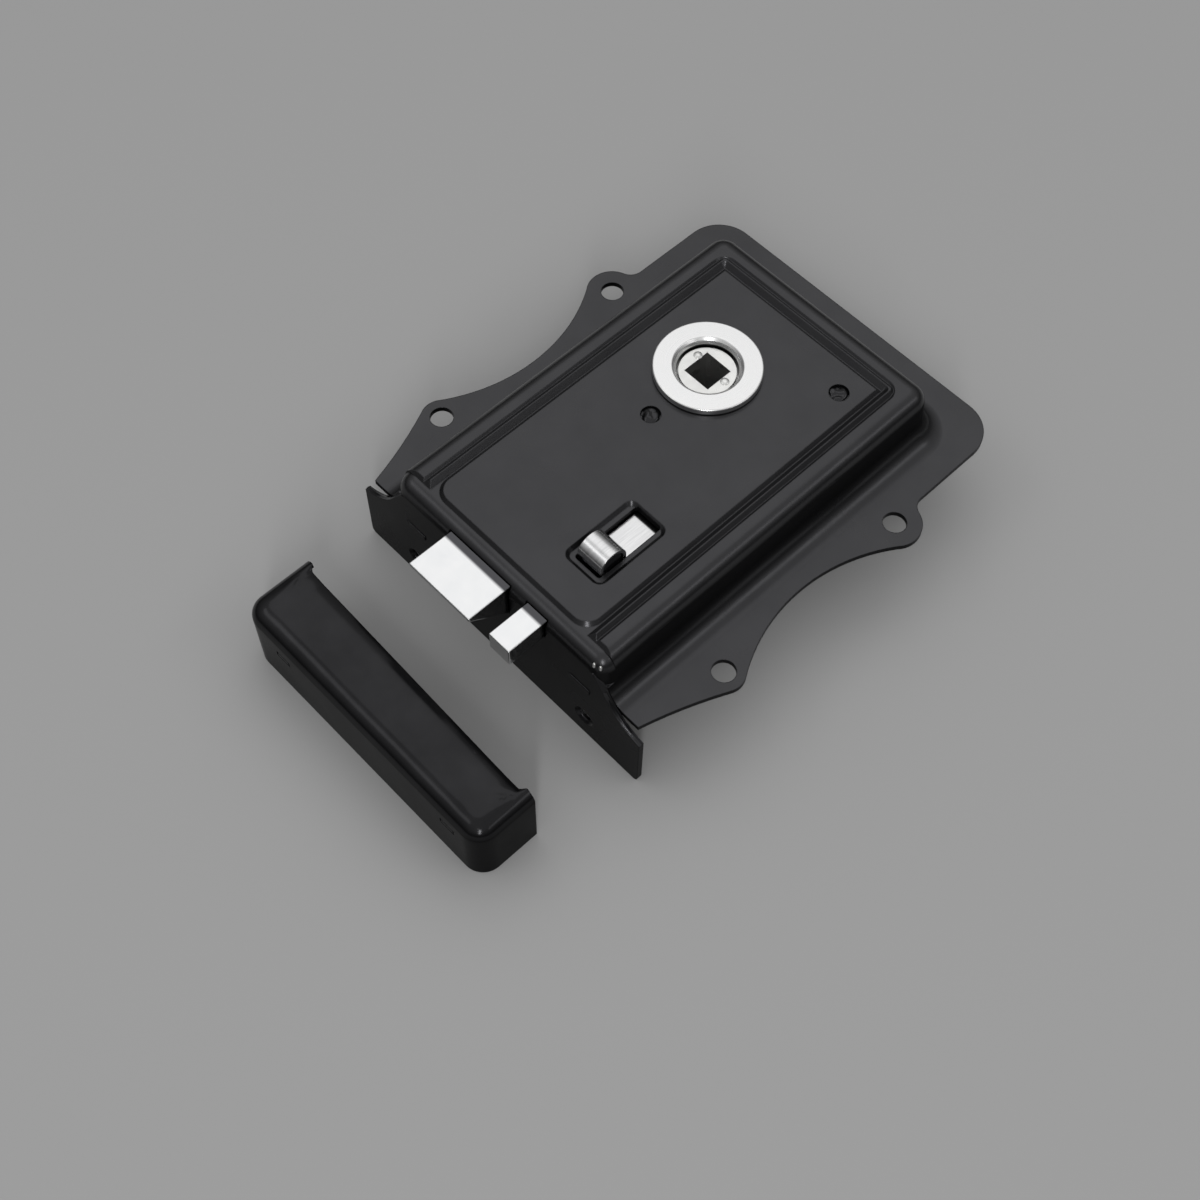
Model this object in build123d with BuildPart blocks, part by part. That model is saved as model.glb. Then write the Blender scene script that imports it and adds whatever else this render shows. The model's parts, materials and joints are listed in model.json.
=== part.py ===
from build123d import *

import os
from math import cos, radians, sin, sqrt, tan

os.makedirs("parts", exist_ok=True)

# A rim lock with a sliding privacy snib, and the box keep that goes with it.
# All sizes are millimetres. The origin is the middle of the four fixing holes, on the
# door's face. +X runs to the fore-end and +Z comes out of the door.

# Case body, one steel pressing
case_length = 127.0
case_depth = 17.0
sheet = 1.5
fore_end_x = 56.5
box_width = 75.0
flange_rear = 12.5
wall_draft = 5.0
rear_corner_r = 6.0
front_corner_r = 4.5
shoulder_r = 4.2
foot_r = 6.0

# Flange and its fixings
fixing_spacing_x = 60.0
fixing_spacing_y = 100.0
fixing_hole_r = 3.0
flange_front_half = 46.7
flange_front_bow_x = 43.5
flange_front_bow = 50.2
flange_waist_half = 47.1
flange_waist_x = 1.5
flange_rear_half = 49.7
flange_rear_corner_r = 10.0
front_ear_r = 5.4
front_ear_angles = (62.0, 116.0)
rear_ear_r = 6.9
rear_ear_start_angle = 48.0
rear_ear_neck_r = 4.0
flange_gap = 0.3

# Fore-end
fore_end_width = 98.0
fore_end_drop = 22.0
fore_end_corner_r = 1.5
wing_tip_z = -3.0
wing_mid = (42.2, 0.2)
wing_root = (36.9, 6.5)
wing_crease = (33.4, 11.5)
fore_end_hole_spacing = 61.0
fore_end_hole_z = -14.0
fore_end_hole_r = 2.4
fore_end_sink_r = 3.1
sink_angle = 90.0

# Moulding of the face: a panel, and a channel on three sides of it with a rib inside
panel_width = 51.8
panel_rear = 11.4
panel_front_x = 51.3
panel_corner_r = 4.0
channel_width = 4.5
channel_depth = 1.0
channel_slope = 45.0
channel_corner_r = 4.0
rib_middle = 2.65
rib_width = 3.0
rib_height = 1.4
rib_slope = 45.0
rib_corner_r = 2.0

# Spindle, rose and follower
spindle_x = -20.6
spindle_y = -6.6
socket_size = 8.1
rose_r = 13.9
rose_height = 2.0
rose_bevel = 0.6
rose_spigot_r = 9.5
rose_dish_r = 8.9
rose_dish_depth = 2.1
rose_lip_r = 10.3
rose_lip_height = 0.6
journal_r = 6.6
follower_r = 7.3
follower_sink = 0.3
hub_r = 9.0
hub_bottom_z = 3.6
hub_top_z = 14.6
arm_length = 13.6
arm_width = 3.0
arm_tip_r = 2.2
arm_rest_angle = 65.0
arm_bottom_z = 5.2
arm_thickness = 3.0

# Fits
running = 0.05
seat_gap = 0.05
slide_gap = 0.3

# Pillars and cap screws
front_pillar_x = -0.9
rear_pillar_inset = 7.4
rear_pillar_y = 20.4
pillar_r = 3.5
pillar_end_r = 2.5
pillar_end_recess = 0.7
pillar_bore_r = 1.55
pillar_bore_depth = 9.0
cap_screw_length = 8.0
cap_screw_head_r = 2.8
cap_screw_slot = 0.8
cap_screw_slot_depth = 0.6

# Back cap
cap_corner_r = 6.0
cap_front_gap = 0.2
cap_tab_width = 6.8
cap_tab_pitch = 58.0
spring_lug_inset = 4.0
spring_lug_width = 8.0
spring_lug_height = 12.0

# Latch
latch_y = -5.7
latch_width = 21.0
latch_projection = 12.0
latch_travel = 11.5
latch_top_z = 14.2
latch_inner_x = 38.0
latch_nose = 1.2
latch_bevel_start = 0.5
latch_edge_r = 0.5
latch_rivet_r = 1.6
latch_rivet_x = 46.0
latch_rivet_pitch = 12.0
latch_rivet_length = 6.0
tail_width = 32.0
tail_strap = 3.4
tail_corner_r = 3.0
prong_inner = 11.4
prong_gap = 0.15
prong_thickness = 2.0
prong_height = 7.5
tail_lug_width = 10.0
tail_lug_height = 10.5

# Latch spring and its rod
spring_axis_z = 8.6
spring_wire = 0.7
spring_coil_r = 3.0
spring_pitch = 2.8
rod_r = 1.8
rod_collar_r = 3.4
rod_collar = 1.0
rod_tail_r = 2.4
rod_tail = 0.6
rod_reach = 1.5

# Privacy bolt and the snib slide on it
privacy_y = 13.9
privacy_width = 6.8
privacy_height = 6.2
privacy_projection = 11.0
privacy_tail_x = 10.0
privacy_edge_r = 0.4
snib_sheet = 1.0
snib_width = 7.8
snib_curl_x = 35.3
snib_curl_r = 4.4
snib_curl_z = 16.6
snib_curl_drop = 1.4
snib_bend_r = 1.0
snib_rivet_x = 13.0
snib_rivet_pitch = 4.4
snib_rivet_r = 1.0
snib_rivet_head_r = 1.6
snib_rivet_head = 0.6
snib_rivet_depth = 3.0

# Dished slot of the snib
slot_rear_x = 19.8
slot_length = 20.2
slot_width = 8.4
slot_corner_r = 0.8
dish_rear_x = 19.3
dish_length = 22.8
dish_width = 12.8
dish_corner_r = 2.4

# Bridge that carries the privacy bolt
bridge_x = 15.0
bridge_length = 13.0
bridge_foot = 7.0
bridge_foot_width = 7.0
bridge_cheek = 3.6
bridge_rivet_r = 1.5
bridge_rivet_head_r = 2.4
bridge_rivet_head = 0.9

# Leaf spring that keeps the privacy bolt where it was put
leaf_x = 40.0
leaf_pitch = 18.0
leaf_thickness = 0.5
leaf_height = 4.0
leaf_bow_angle = 25.0
leaf_wrap = 150.0
leaf_bottom_z = 9.2
post_r = 1.2
post_shoulder_r = 2.0
post_spigot_r = 1.0
post_top = 0.6

# Box keep and its bracket
keep_x = 83.0
keep_width = 17.4
keep_length = 85.0
keep_depth = 22.0
keep_corner_r = 5.5
keep_shoulder_r = 3.0
keep_lip_width = 3.0
keep_lip_drop = 0.9
keep_lip_length = 76.0
bracket_sheet = 1.2
bracket_length = 72.0
bracket_foot = 14.0
bracket_corner_r = 2.0
keep_tab_y = (-27.8, 31.6)
keep_tab_width = 4.0
keep_tab_z = 8.0
keep_hole_spacing = 50.0
keep_hole_x = 90.5
keep_hole_r = 2.3
keep_sink_r = 3.0

# Sizes that follow from the ones above
rear_x = fore_end_x - case_length
box_rear_x = rear_x + flange_rear
panel_rear_x = box_rear_x + panel_rear
spring_lug_x = box_rear_x + spring_lug_inset
rear_pillar_x = panel_rear_x + rear_pillar_inset
inner_front_x = fore_end_x - sheet
flange_front_x = inner_front_x - flange_gap
panel_under_z = case_depth - sheet
shelf_under_z = panel_under_z - channel_depth
box_half = box_width / 2
wall_side = sheet / cos(radians(wall_draft))
mitre = sqrt(2) - 1
bevel_share = 2 - sqrt(2)
fixing_x = fixing_spacing_x / 2
fixing_y = fixing_spacing_y / 2
fixing_places = [(x, y) for x in (-fixing_x, fixing_x) for y in (-fixing_y, fixing_y)]
pillar_places = [(front_pillar_x, spindle_y), (rear_pillar_x, rear_pillar_y)]
privacy_bottom_z = latch_top_z - privacy_height
strip_bottom_z = latch_top_z - snib_sheet
tail_bottom_z = sheet + slide_gap
tail_top_z = tail_bottom_z + sheet
cap_rear_x = box_rear_x + wall_side
cap_half = box_half - wall_side
cap_front_x = inner_front_x - cap_front_gap
far = 2 * case_length


def polar_point(centre, radius, angle):
    """Point on a circle, at an angle in degrees."""
    x = centre[0] + radius * cos(radians(angle))
    y = centre[1] + radius * sin(radians(angle))
    return (x, y)


def upright(x, y):
    """Plane that stands on a place, with its own x along +X and its own y along +Z."""
    return Plane(origin=(x, y, 0), x_dir=(1, 0, 0), z_dir=(0, -1, 0))


def turned(x, y, outline):
    """Solid of revolution about a vertical axis, from an outline of radius and height."""
    with BuildPart() as piece:
        with BuildSketch(upright(x, y)):
            with BuildLine():
                Polyline(*outline, close=True)
            make_face()
        revolve(axis=Axis((x, y, 0), (0, 0, 1)))
    return piece.part


def soften(bends, radius, inset):
    """Round the bends of an outer skin; bevel those of an inner one, where no one looks."""
    if inset:
        chamfer(bends, length=radius * bevel_share)
    else:
        fillet(bends, radius=radius)


def drafted_box(inset, base_z, top_z):
    """Box of the case with its drafted walls, running on beyond the fore-end."""
    side = inset / cos(radians(wall_draft)) + base_z * tan(radians(wall_draft))
    rear = box_rear_x + side
    half = box_half - side
    with BuildPart() as box:
        with BuildSketch(Plane.XY.offset(base_z)):
            with Locations(((rear + far) / 2, 0)):
                Rectangle(far - rear, 2 * half)
            fillet(vertices().group_by(Axis.X)[0], radius=rear_corner_r - inset)
        extrude(amount=top_z - base_z, taper=wall_draft)
    return box.part


def case_block(inset, top_z):
    """Upper part of the case with its rounded front corners and shoulders."""
    front = fore_end_x - inset
    with BuildPart() as block:
        add(drafted_box(inset, 0, top_z))
        split(bisect_by=Plane.YZ.offset(front), keep=Keep.BOTTOM)
        standing = edges().filter_by_position(Axis.X, front - sheet, front)
        corners = standing.filter_by_position(Axis.Z, top_z / 4, 3 * top_z / 4)
        fillet(corners, radius=front_corner_r - inset)
        soften(faces().sort_by(Axis.Z)[-1].edges(), shoulder_r - inset, inset)
    return block.part


def foot_form(inset, base_z, radius, front):
    """Foot of the walls, swept out into a plate whose upper side is at the base height."""
    top_z = base_z + radius
    half = box_half + radius
    rear = box_rear_x - radius
    with BuildPart() as foot:
        add(drafted_box(inset, base_z, top_z + sheet))
        with BuildSketch(Plane.XY.offset(base_z - sheet)):
            with Locations(((rear + far) / 2, 0)):
                Rectangle(far - rear, 2 * half)
        extrude(amount=sheet)
        bends = edges().filter_by_position(Axis.Z, base_z, base_z)
        bends = bends.filter_by_position(Axis.Y, -box_half, box_half)
        bends = bends.filter_by_position(Axis.X, box_rear_x, far - sheet)
        soften(bends, radius, inset)
        split(bisect_by=Plane.XY.offset(top_z), keep=Keep.BOTTOM)
        split(bisect_by=Plane.YZ.offset(front), keep=Keep.BOTTOM)
    return foot.part


def channel_band(top_z, spread):
    """Channel round three sides of the panel, running out in front of it."""
    rear = panel_rear_x - channel_width - spread
    half = panel_width / 2 + channel_width + spread
    panel_rear = panel_rear_x + spread
    panel_front = panel_front_x - spread
    panel_half = panel_width / 2 - spread
    with BuildPart() as band:
        with BuildSketch(Plane.XY.offset(top_z)):
            with Locations(((rear + far) / 2, 0)):
                Rectangle(far - rear, 2 * half)
            fillet(vertices().group_by(Axis.X)[0], radius=channel_corner_r)
            with BuildSketch(mode=Mode.PRIVATE) as panel:
                with Locations(((panel_rear + panel_front) / 2, 0)):
                    Rectangle(panel_front - panel_rear, 2 * panel_half)
                fillet(panel.vertices().group_by(Axis.X)[-1], radius=panel_corner_r)
            add(panel.sketch, mode=Mode.SUBTRACT)
        extrude(amount=-channel_depth, taper=channel_slope)
    return band.part


def dish(top_z, spread):
    """Shallow dish round the snib's slot."""
    with BuildPart() as hollow:
        with BuildSketch(Plane.XY.offset(top_z)):
            with Locations((dish_rear_x + dish_length / 2, privacy_y)):
                RectangleRounded(dish_length + 2 * spread, dish_width + 2 * spread, dish_corner_r)
        extrude(amount=-channel_depth, taper=channel_slope)
    return hollow.part


def case_form(inset):
    """Box of the case with its moulded face, inset from the skin by a thickness."""
    spread = inset * mitre
    top_z = case_depth - inset
    shelf_z = top_z - channel_depth
    step_x = panel_front_x - spread
    with BuildPart() as form:
        add(case_block(inset, top_z))
        with BuildSketch(Plane.XZ):
            with BuildLine():
                Polyline(
                    (step_x, top_z),
                    (step_x + channel_depth, shelf_z),
                    (step_x + channel_depth, -sheet),
                    (far, -sheet),
                    (far, top_z),
                    close=True,
                )
            make_face()
        extrude(amount=box_width, both=True, mode=Mode.SUBTRACT)
        add(case_block(inset, shelf_z))
        add(channel_band(top_z, spread), mode=Mode.SUBTRACT)
        add(dish(top_z, spread), mode=Mode.SUBTRACT)
    return form.part


def rib():
    """Rib that stands in the channel round the panel, with sloped sides and ends."""
    half = panel_width / 2 + rib_middle
    rear = panel_rear_x - rib_middle
    front = panel_front_x + channel_depth
    outer = half + rib_width / 2
    inner = half - rib_width / 2
    outer_rear = rear - rib_width / 2
    inner_rear = rear + rib_width / 2
    with BuildPart() as bead:
        with BuildSketch(Plane.XY.offset(case_depth - channel_depth)):
            with BuildLine():
                Polyline(
                    (front, -inner),
                    (inner_rear, -inner),
                    (inner_rear, inner),
                    (front, inner),
                    (front, outer),
                    (outer_rear, outer),
                    (outer_rear, -outer),
                    (front, -outer),
                    close=True,
                )
            make_face()
            fillet(vertices().group_by(Axis.X)[0], radius=rib_corner_r)
        extrude(amount=rib_height, taper=rib_slope)
    return bead.part


def flange_outline():
    """Scalloped edge of the flange with its four ears, closed across the fore-end."""
    front_ear = (fixing_x, fixing_y)
    rear_ear = (-fixing_x, fixing_y)
    ear_front = polar_point(front_ear, front_ear_r, front_ear_angles[0])
    ear_rear = polar_point(front_ear, front_ear_r, front_ear_angles[1])
    waist_end = polar_point(rear_ear, rear_ear_r, rear_ear_start_angle)
    neck_y = flange_rear_half + rear_ear_neck_r
    neck_x = -fixing_x - sqrt((rear_ear_r + rear_ear_neck_r) ** 2 - (neck_y - fixing_y) ** 2)
    share = rear_ear_r / (rear_ear_r + rear_ear_neck_r)
    ear_end = (
        rear_ear[0] + share * (neck_x - rear_ear[0]),
        rear_ear[1] + share * (neck_y - rear_ear[1]),
    )
    top = (rear_ear[0], rear_ear[1] + rear_ear_r)
    ear_top = (front_ear[0], front_ear[1] + front_ear_r)
    corner = (rear_x + flange_rear_corner_r, flange_rear_half - flange_rear_corner_r)
    with BuildLine() as edge:
        Line((flange_front_x, 0), (flange_front_x, flange_front_half))
        ThreePointArc(
            (flange_front_x, flange_front_half), (flange_front_bow_x, flange_front_bow), ear_front
        )
        ThreePointArc(ear_front, ear_top, ear_rear)
        ThreePointArc(ear_rear, (flange_waist_x, flange_waist_half), waist_end)
        ThreePointArc(waist_end, top, ear_end)
        TangentArc((neck_x, flange_rear_half), ear_end, tangent=(1, 0))
        Line((neck_x, flange_rear_half), (corner[0], flange_rear_half))
        CenterArc(corner, flange_rear_corner_r, 90, 90)
        Line((rear_x, corner[1]), (rear_x, 0))
        mirror(about=Plane.XZ)
    return edge.line


def flush_screw(x, y, base_z, head_r, shank_r, top_z):
    """Screw with a countersunk head at its lower end."""
    outline = [
        (0, base_z),
        (head_r, base_z),
        (shank_r, base_z + head_r - shank_r),
        (shank_r, top_z),
        (0, top_z),
    ]
    return turned(x, y, outline)


def headed_pin(x, y, base_z, shank_r, seat_z, head_r, head):
    """Rivet with a low flat head on top of what it holds."""
    outline = [
        (0, base_z),
        (shank_r, base_z),
        (shank_r, seat_z),
        (head_r, seat_z),
        (head_r, seat_z + head),
        (0, seat_z + head),
    ]
    return turned(x, y, outline)


# Case body: the drafted box with its face, the flange at its foot and the fore-end
with BuildPart() as case_body:
    add(case_form(0))
    add(drafted_box(0, 0, foot_r + sheet).split(Plane.YZ.offset(inner_front_x), Keep.BOTTOM))
    add(foot_form(0, sheet, foot_r, flange_front_x))
    with BuildSketch():
        with BuildLine():
            add(flange_outline())
        make_face()
    extrude(amount=sheet)
    with BuildSketch(Plane.YZ.offset(inner_front_x)):
        with BuildLine():
            Line((0, -fore_end_drop), (fore_end_width / 2, -fore_end_drop))
            Line((fore_end_width / 2, -fore_end_drop), (fore_end_width / 2, wing_tip_z))
            ThreePointArc((fore_end_width / 2, wing_tip_z), wing_mid, wing_root)
            Line(wing_root, wing_crease)
            Line(wing_crease, (0, wing_crease[1]))
            mirror(about=Plane.YZ)
        make_face()
        fillet(vertices().group_by(Axis.Y)[0], radius=fore_end_corner_r)
    extrude(amount=sheet)
    add(case_form(sheet), mode=Mode.SUBTRACT)
    add(foot_form(sheet, 0, foot_r + sheet, inner_front_x), mode=Mode.SUBTRACT)
    add(rib())
    with BuildSketch(Plane.XY):
        with Locations(*fixing_places):
            Circle(fixing_hole_r)
    extrude(amount=sheet, mode=Mode.SUBTRACT)
    with BuildSketch(Plane.XY.offset(panel_under_z)):
        with Locations((spindle_x, spindle_y)):
            Circle(rose_spigot_r + seat_gap)
        with Locations(*pillar_places):
            Circle(pillar_end_r + seat_gap)
    extrude(amount=sheet, mode=Mode.SUBTRACT)
    with BuildSketch(Plane.XY.offset(shelf_under_z - channel_depth)):
        with Locations((slot_rear_x + slot_length / 2, privacy_y)):
            RectangleRounded(slot_length, slot_width, slot_corner_r)
    extrude(amount=2 * channel_depth + sheet, mode=Mode.SUBTRACT)
    with BuildSketch(Plane.YZ.offset(inner_front_x - shoulder_r)):
        latch_height = shelf_under_z - tail_top_z + slide_gap
        with Locations((latch_y, shelf_under_z - latch_height / 2)):
            Rectangle(latch_width + 2 * slide_gap, latch_height)
        bolt_height = shelf_under_z - privacy_bottom_z + slide_gap
        with Locations((privacy_y, shelf_under_z - bolt_height / 2)):
            Rectangle(privacy_width + 2 * slide_gap, bolt_height)
    extrude(amount=shoulder_r + sheet, mode=Mode.SUBTRACT)
    with BuildSketch(Plane.YZ.offset(inner_front_x)):
        with Locations((-cap_tab_pitch / 2, sheet / 2), (cap_tab_pitch / 2, sheet / 2)):
            Rectangle(cap_tab_width + 2 * seat_gap, sheet + 2 * seat_gap)
    extrude(amount=sheet, mode=Mode.SUBTRACT)
    for side in (-1, 1):
        hole_y = side * fore_end_hole_spacing / 2
        with Locations(Plane(origin=(fore_end_x, hole_y, fore_end_hole_z), z_dir=(1, 0, 0))):
            CounterSinkHole(
                fore_end_hole_r, fore_end_sink_r, depth=2 * sheet, counter_sink_angle=sink_angle
            )
case_body.part.label = "case_body"
export_step(case_body.part, "parts/case_body.step")

# Rose: collar with a dished bore, swaged under the panel
rose_top = case_depth + rose_height
rose_outline = [
    (follower_r + running, panel_under_z - rose_lip_height),
    (rose_lip_r, panel_under_z - rose_lip_height),
    (rose_lip_r, panel_under_z),
    (rose_spigot_r, panel_under_z),
    (rose_spigot_r, case_depth),
    (rose_r, case_depth),
    (rose_r, rose_top),
    (rose_dish_r, rose_top),
    (follower_r + running, rose_top - rose_dish_depth),
]
with BuildPart() as rose:
    add(turned(spindle_x, spindle_y, rose_outline))
    rim = edges().group_by(Axis.Z)[-1].sort_by(SortBy.RADIUS)[-1]
    chamfer(rim, length=rose_bevel)
rose.part.label = "rose"
export_step(rose.part, "parts/rose.step")

# Follower: hub with the square socket, a shoulder on the cap and two arms
face_z = case_depth - follower_sink
follower_outline = [
    (0, 0),
    (journal_r, 0),
    (journal_r, sheet),
    (follower_r, sheet),
    (follower_r, hub_bottom_z),
    (hub_r, hub_bottom_z),
    (hub_r, hub_top_z),
    (follower_r, hub_top_z),
    (follower_r, face_z),
    (0, face_z),
]
spindle_plane = Plane(origin=(spindle_x, spindle_y, 0))
with BuildPart() as follower:
    add(turned(spindle_x, spindle_y, follower_outline))
    with BuildSketch(spindle_plane.offset(arm_bottom_z)):
        for angle in (-arm_rest_angle, arm_rest_angle):
            with PolarLocations(arm_length / 2, 1, start_angle=angle):
                Rectangle(arm_length, arm_width)
            with PolarLocations(arm_length, 1, start_angle=angle):
                Circle(arm_tip_r)
    extrude(amount=arm_thickness)
    with BuildSketch(spindle_plane):
        Rectangle(socket_size, socket_size)
    extrude(amount=case_depth, mode=Mode.SUBTRACT)
follower.part.label = "follower"
export_step(follower.part, "parts/follower.step")

# Case pillars: shouldered posts riveted into the panel and tapped from below
pillar_top = case_depth - pillar_end_recess
pillar_outline = [
    (0, sheet + pillar_bore_depth),
    (pillar_bore_r, sheet + pillar_bore_depth),
    (pillar_bore_r, sheet),
    (pillar_r, sheet),
    (pillar_r, panel_under_z),
    (pillar_end_r, panel_under_z),
    (pillar_end_r, pillar_top),
    (0, pillar_top),
]
with BuildPart() as case_pillars:
    for x, y in pillar_places:
        add(turned(x, y, pillar_outline))
case_pillars.part.label = "case_pillars"
export_step(case_pillars.part, "parts/case_pillars.step")

# Cap screws: slotted, with countersunk heads flush with the cap
cap_screw_r = pillar_bore_r - running
with BuildPart() as cap_screws:
    for x, y in pillar_places:
        add(flush_screw(x, y, 0, cap_screw_head_r, cap_screw_r, cap_screw_length))
    with BuildSketch():
        with Locations(*pillar_places):
            Rectangle(2 * cap_screw_head_r, cap_screw_slot)
    extrude(amount=cap_screw_slot_depth, mode=Mode.SUBTRACT)
cap_screws.part.label = "cap_screws"
export_step(cap_screws.part, "parts/cap_screws.step")

# Back cap: flat plate with two tabs, a lug bent up from it and holes for what it carries
lug_front_x = spring_lug_x + sheet
lug_top_z = sheet + spring_lug_height
bridge_feet_x = (bridge_x - bridge_foot / 2, bridge_x + bridge_length + bridge_foot / 2)
wrap_r = post_r + leaf_thickness / 2
leaf_chord = leaf_pitch + 2 * wrap_r * sin(radians(leaf_bow_angle))
leaf_r = leaf_chord / (2 * sin(radians(leaf_bow_angle)))
leaf_mid_y = privacy_y + privacy_width / 2 + running + leaf_thickness / 2
leaf_sag = leaf_r * (1 - cos(radians(leaf_bow_angle)))
post_y = leaf_mid_y + leaf_sag + wrap_r * cos(radians(leaf_bow_angle))
post_places = [(leaf_x - leaf_pitch / 2, post_y), (leaf_x + leaf_pitch / 2, post_y)]
with BuildPart() as back_cap:
    with BuildSketch():
        with Locations(((cap_rear_x + cap_front_x) / 2, 0)):
            RectangleRounded(cap_front_x - cap_rear_x, 2 * cap_half, cap_corner_r)
        for side in (-1, 1):
            with Locations(((cap_front_x + fore_end_x) / 2, side * cap_tab_pitch / 2)):
                Rectangle(fore_end_x - cap_front_x + 2 * cap_front_gap, cap_tab_width)
    extrude(amount=sheet)
    with BuildSketch(upright(0, spindle_y)):
        with Locations((spring_lug_x + sheet / 2, lug_top_z / 2)):
            Rectangle(sheet, lug_top_z)
    extrude(amount=spring_lug_width / 2, both=True)
    with BuildSketch():
        with Locations((lug_front_x + spring_lug_height / 2, spindle_y)):
            Rectangle(spring_lug_height, spring_lug_width)
        with Locations((spindle_x, spindle_y)):
            Circle(journal_r + running)
        with Locations(*[(x, privacy_y) for x in bridge_feet_x]):
            Circle(bridge_rivet_r + seat_gap)
        with Locations(*post_places):
            Circle(post_spigot_r + seat_gap)
    extrude(amount=sheet, mode=Mode.SUBTRACT)
    with Locations(Plane(origin=(lug_front_x, spindle_y, spring_axis_z), z_dir=(1, 0, 0))):
        Hole(rod_r + seat_gap, depth=2 * sheet)
    for x, y in pillar_places:
        with Locations(Plane(origin=(x, y, 0), z_dir=(0, 0, -1))):
            CounterSinkHole(
                cap_screw_r + seat_gap,
                cap_screw_head_r + seat_gap,
                depth=2 * sheet,
                counter_sink_angle=sink_angle,
            )
back_cap.part.label = "back_cap"
export_step(back_cap.part, "parts/back_cap.step")

# Latch head: block with its slope underneath, from the nose down to its foot
latch_tip_x = fore_end_x + latch_projection
head_outline = [
    (latch_inner_x, tail_top_z),
    (fore_end_x + latch_bevel_start, tail_top_z),
    (latch_tip_x, latch_top_z - latch_nose),
    (latch_tip_x, latch_top_z),
    (latch_inner_x, latch_top_z),
]
latch_rivet_places = [(latch_rivet_x, latch_y + side * latch_rivet_pitch / 2) for side in (-1, 1)]
with BuildPart() as latch_head:
    with BuildSketch(upright(0, latch_y)):
        with BuildLine():
            Polyline(*head_outline, close=True)
        make_face()
    extrude(amount=latch_width / 2, both=True)
    nose = faces().sort_by(Axis.X)[-1]
    fillet(nose.edges(), radius=latch_edge_r)
    with BuildSketch(Plane.XY.offset(tail_top_z)):
        with Locations(*latch_rivet_places):
            Circle(latch_rivet_r + seat_gap)
    extrude(amount=latch_rivet_length, mode=Mode.SUBTRACT)
latch_head.part.label = "latch_head"
export_step(latch_head.part, "parts/latch_head.step")

# Latch tail: slide with a window for the follower, two prongs and a lug for the spring
window_half = follower_r + slide_gap + running
window_rear_x = spindle_x - window_half
window_front_x = spindle_x + window_half + latch_travel
tail_slot_half = pillar_r + slide_gap
tail_slot_front_x = front_pillar_x + tail_slot_half + latch_travel
tail_rear_x = window_rear_x - tail_strap
tail_front_x = inner_front_x - slide_gap
arm_reach_x = arm_length * cos(radians(arm_rest_angle)) - arm_tip_r
prong_front_x = spindle_x + arm_reach_x - prong_gap
prong_y = (prong_inner + tail_width / 2) / 2
with BuildPart() as latch_tail:
    with BuildSketch(Plane.XY.offset(tail_bottom_z)):
        with Locations(((tail_rear_x + tail_front_x) / 2, spindle_y)):
            RectangleRounded(tail_front_x - tail_rear_x, tail_width, tail_corner_r)
        with Locations(((window_rear_x + window_front_x) / 2, spindle_y)):
            SlotOverall(window_front_x - window_rear_x, 2 * window_half, mode=Mode.SUBTRACT)
        with Locations(((spindle_x + tail_slot_front_x) / 2, spindle_y)):
            SlotOverall(tail_slot_front_x - spindle_x, 2 * tail_slot_half, mode=Mode.SUBTRACT)
    extrude(amount=sheet)
    with BuildSketch(Plane.XY.offset(tail_bottom_z)):
        for side in (-1, 1):
            with Locations((prong_front_x - prong_thickness / 2, spindle_y + side * prong_y)):
                Rectangle(prong_thickness, tail_width / 2 - prong_inner)
    extrude(amount=prong_height)
    with BuildSketch(Plane.XY.offset(tail_bottom_z)):
        with Locations((tail_rear_x - sheet / 2, spindle_y)):
            Rectangle(sheet, tail_lug_width)
    extrude(amount=tail_lug_height)
    with Locations(Plane(origin=(tail_rear_x, spindle_y, spring_axis_z), z_dir=(1, 0, 0))):
        Hole(rod_r + slide_gap, depth=2 * sheet)
    with BuildSketch(Plane.XY.offset(tail_bottom_z)):
        with Locations(*latch_rivet_places):
            Circle(latch_rivet_r + seat_gap)
    extrude(amount=sheet, mode=Mode.SUBTRACT)
latch_tail.part.label = "latch_tail"
export_step(latch_tail.part, "parts/latch_tail.step")

# Latch rivets: dressed off flush under the tail, up into the head
with BuildPart() as latch_rivets:
    with BuildSketch(Plane.XY.offset(tail_bottom_z)):
        with Locations(*latch_rivet_places):
            Circle(latch_rivet_r)
    extrude(amount=sheet + latch_rivet_length)
latch_rivets.part.label = "latch_rivets"
export_step(latch_rivets.part, "parts/latch_rivets.step")

# Spring rod: riveted in the cap's lug, with a collar for the spring to push on
rod_collar_x = lug_front_x + rod_collar
rod_front_x = tail_rear_x + rod_reach
rod_outline = [
    (0, spring_lug_x - rod_tail),
    (rod_tail_r, spring_lug_x - rod_tail),
    (rod_tail_r, spring_lug_x),
    (rod_r, spring_lug_x),
    (rod_r, lug_front_x),
    (rod_collar_r, lug_front_x),
    (rod_collar_r, rod_collar_x),
    (rod_r, rod_collar_x),
    (rod_r, rod_front_x),
    (0, rod_front_x),
]
rod_start = (0, spindle_y, spring_axis_z)
with BuildPart() as spring_rod:
    with BuildSketch(Plane(origin=rod_start, x_dir=(0, 0, 1), z_dir=(0, -1, 0))):
        with BuildLine():
            Polyline(*[(radius, -x) for radius, x in rod_outline], close=True)
        make_face()
    revolve(axis=Axis(rod_start, (1, 0, 0)))
spring_rod.part.label = "spring_rod"
export_step(spring_rod.part, "parts/spring_rod.step")

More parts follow.
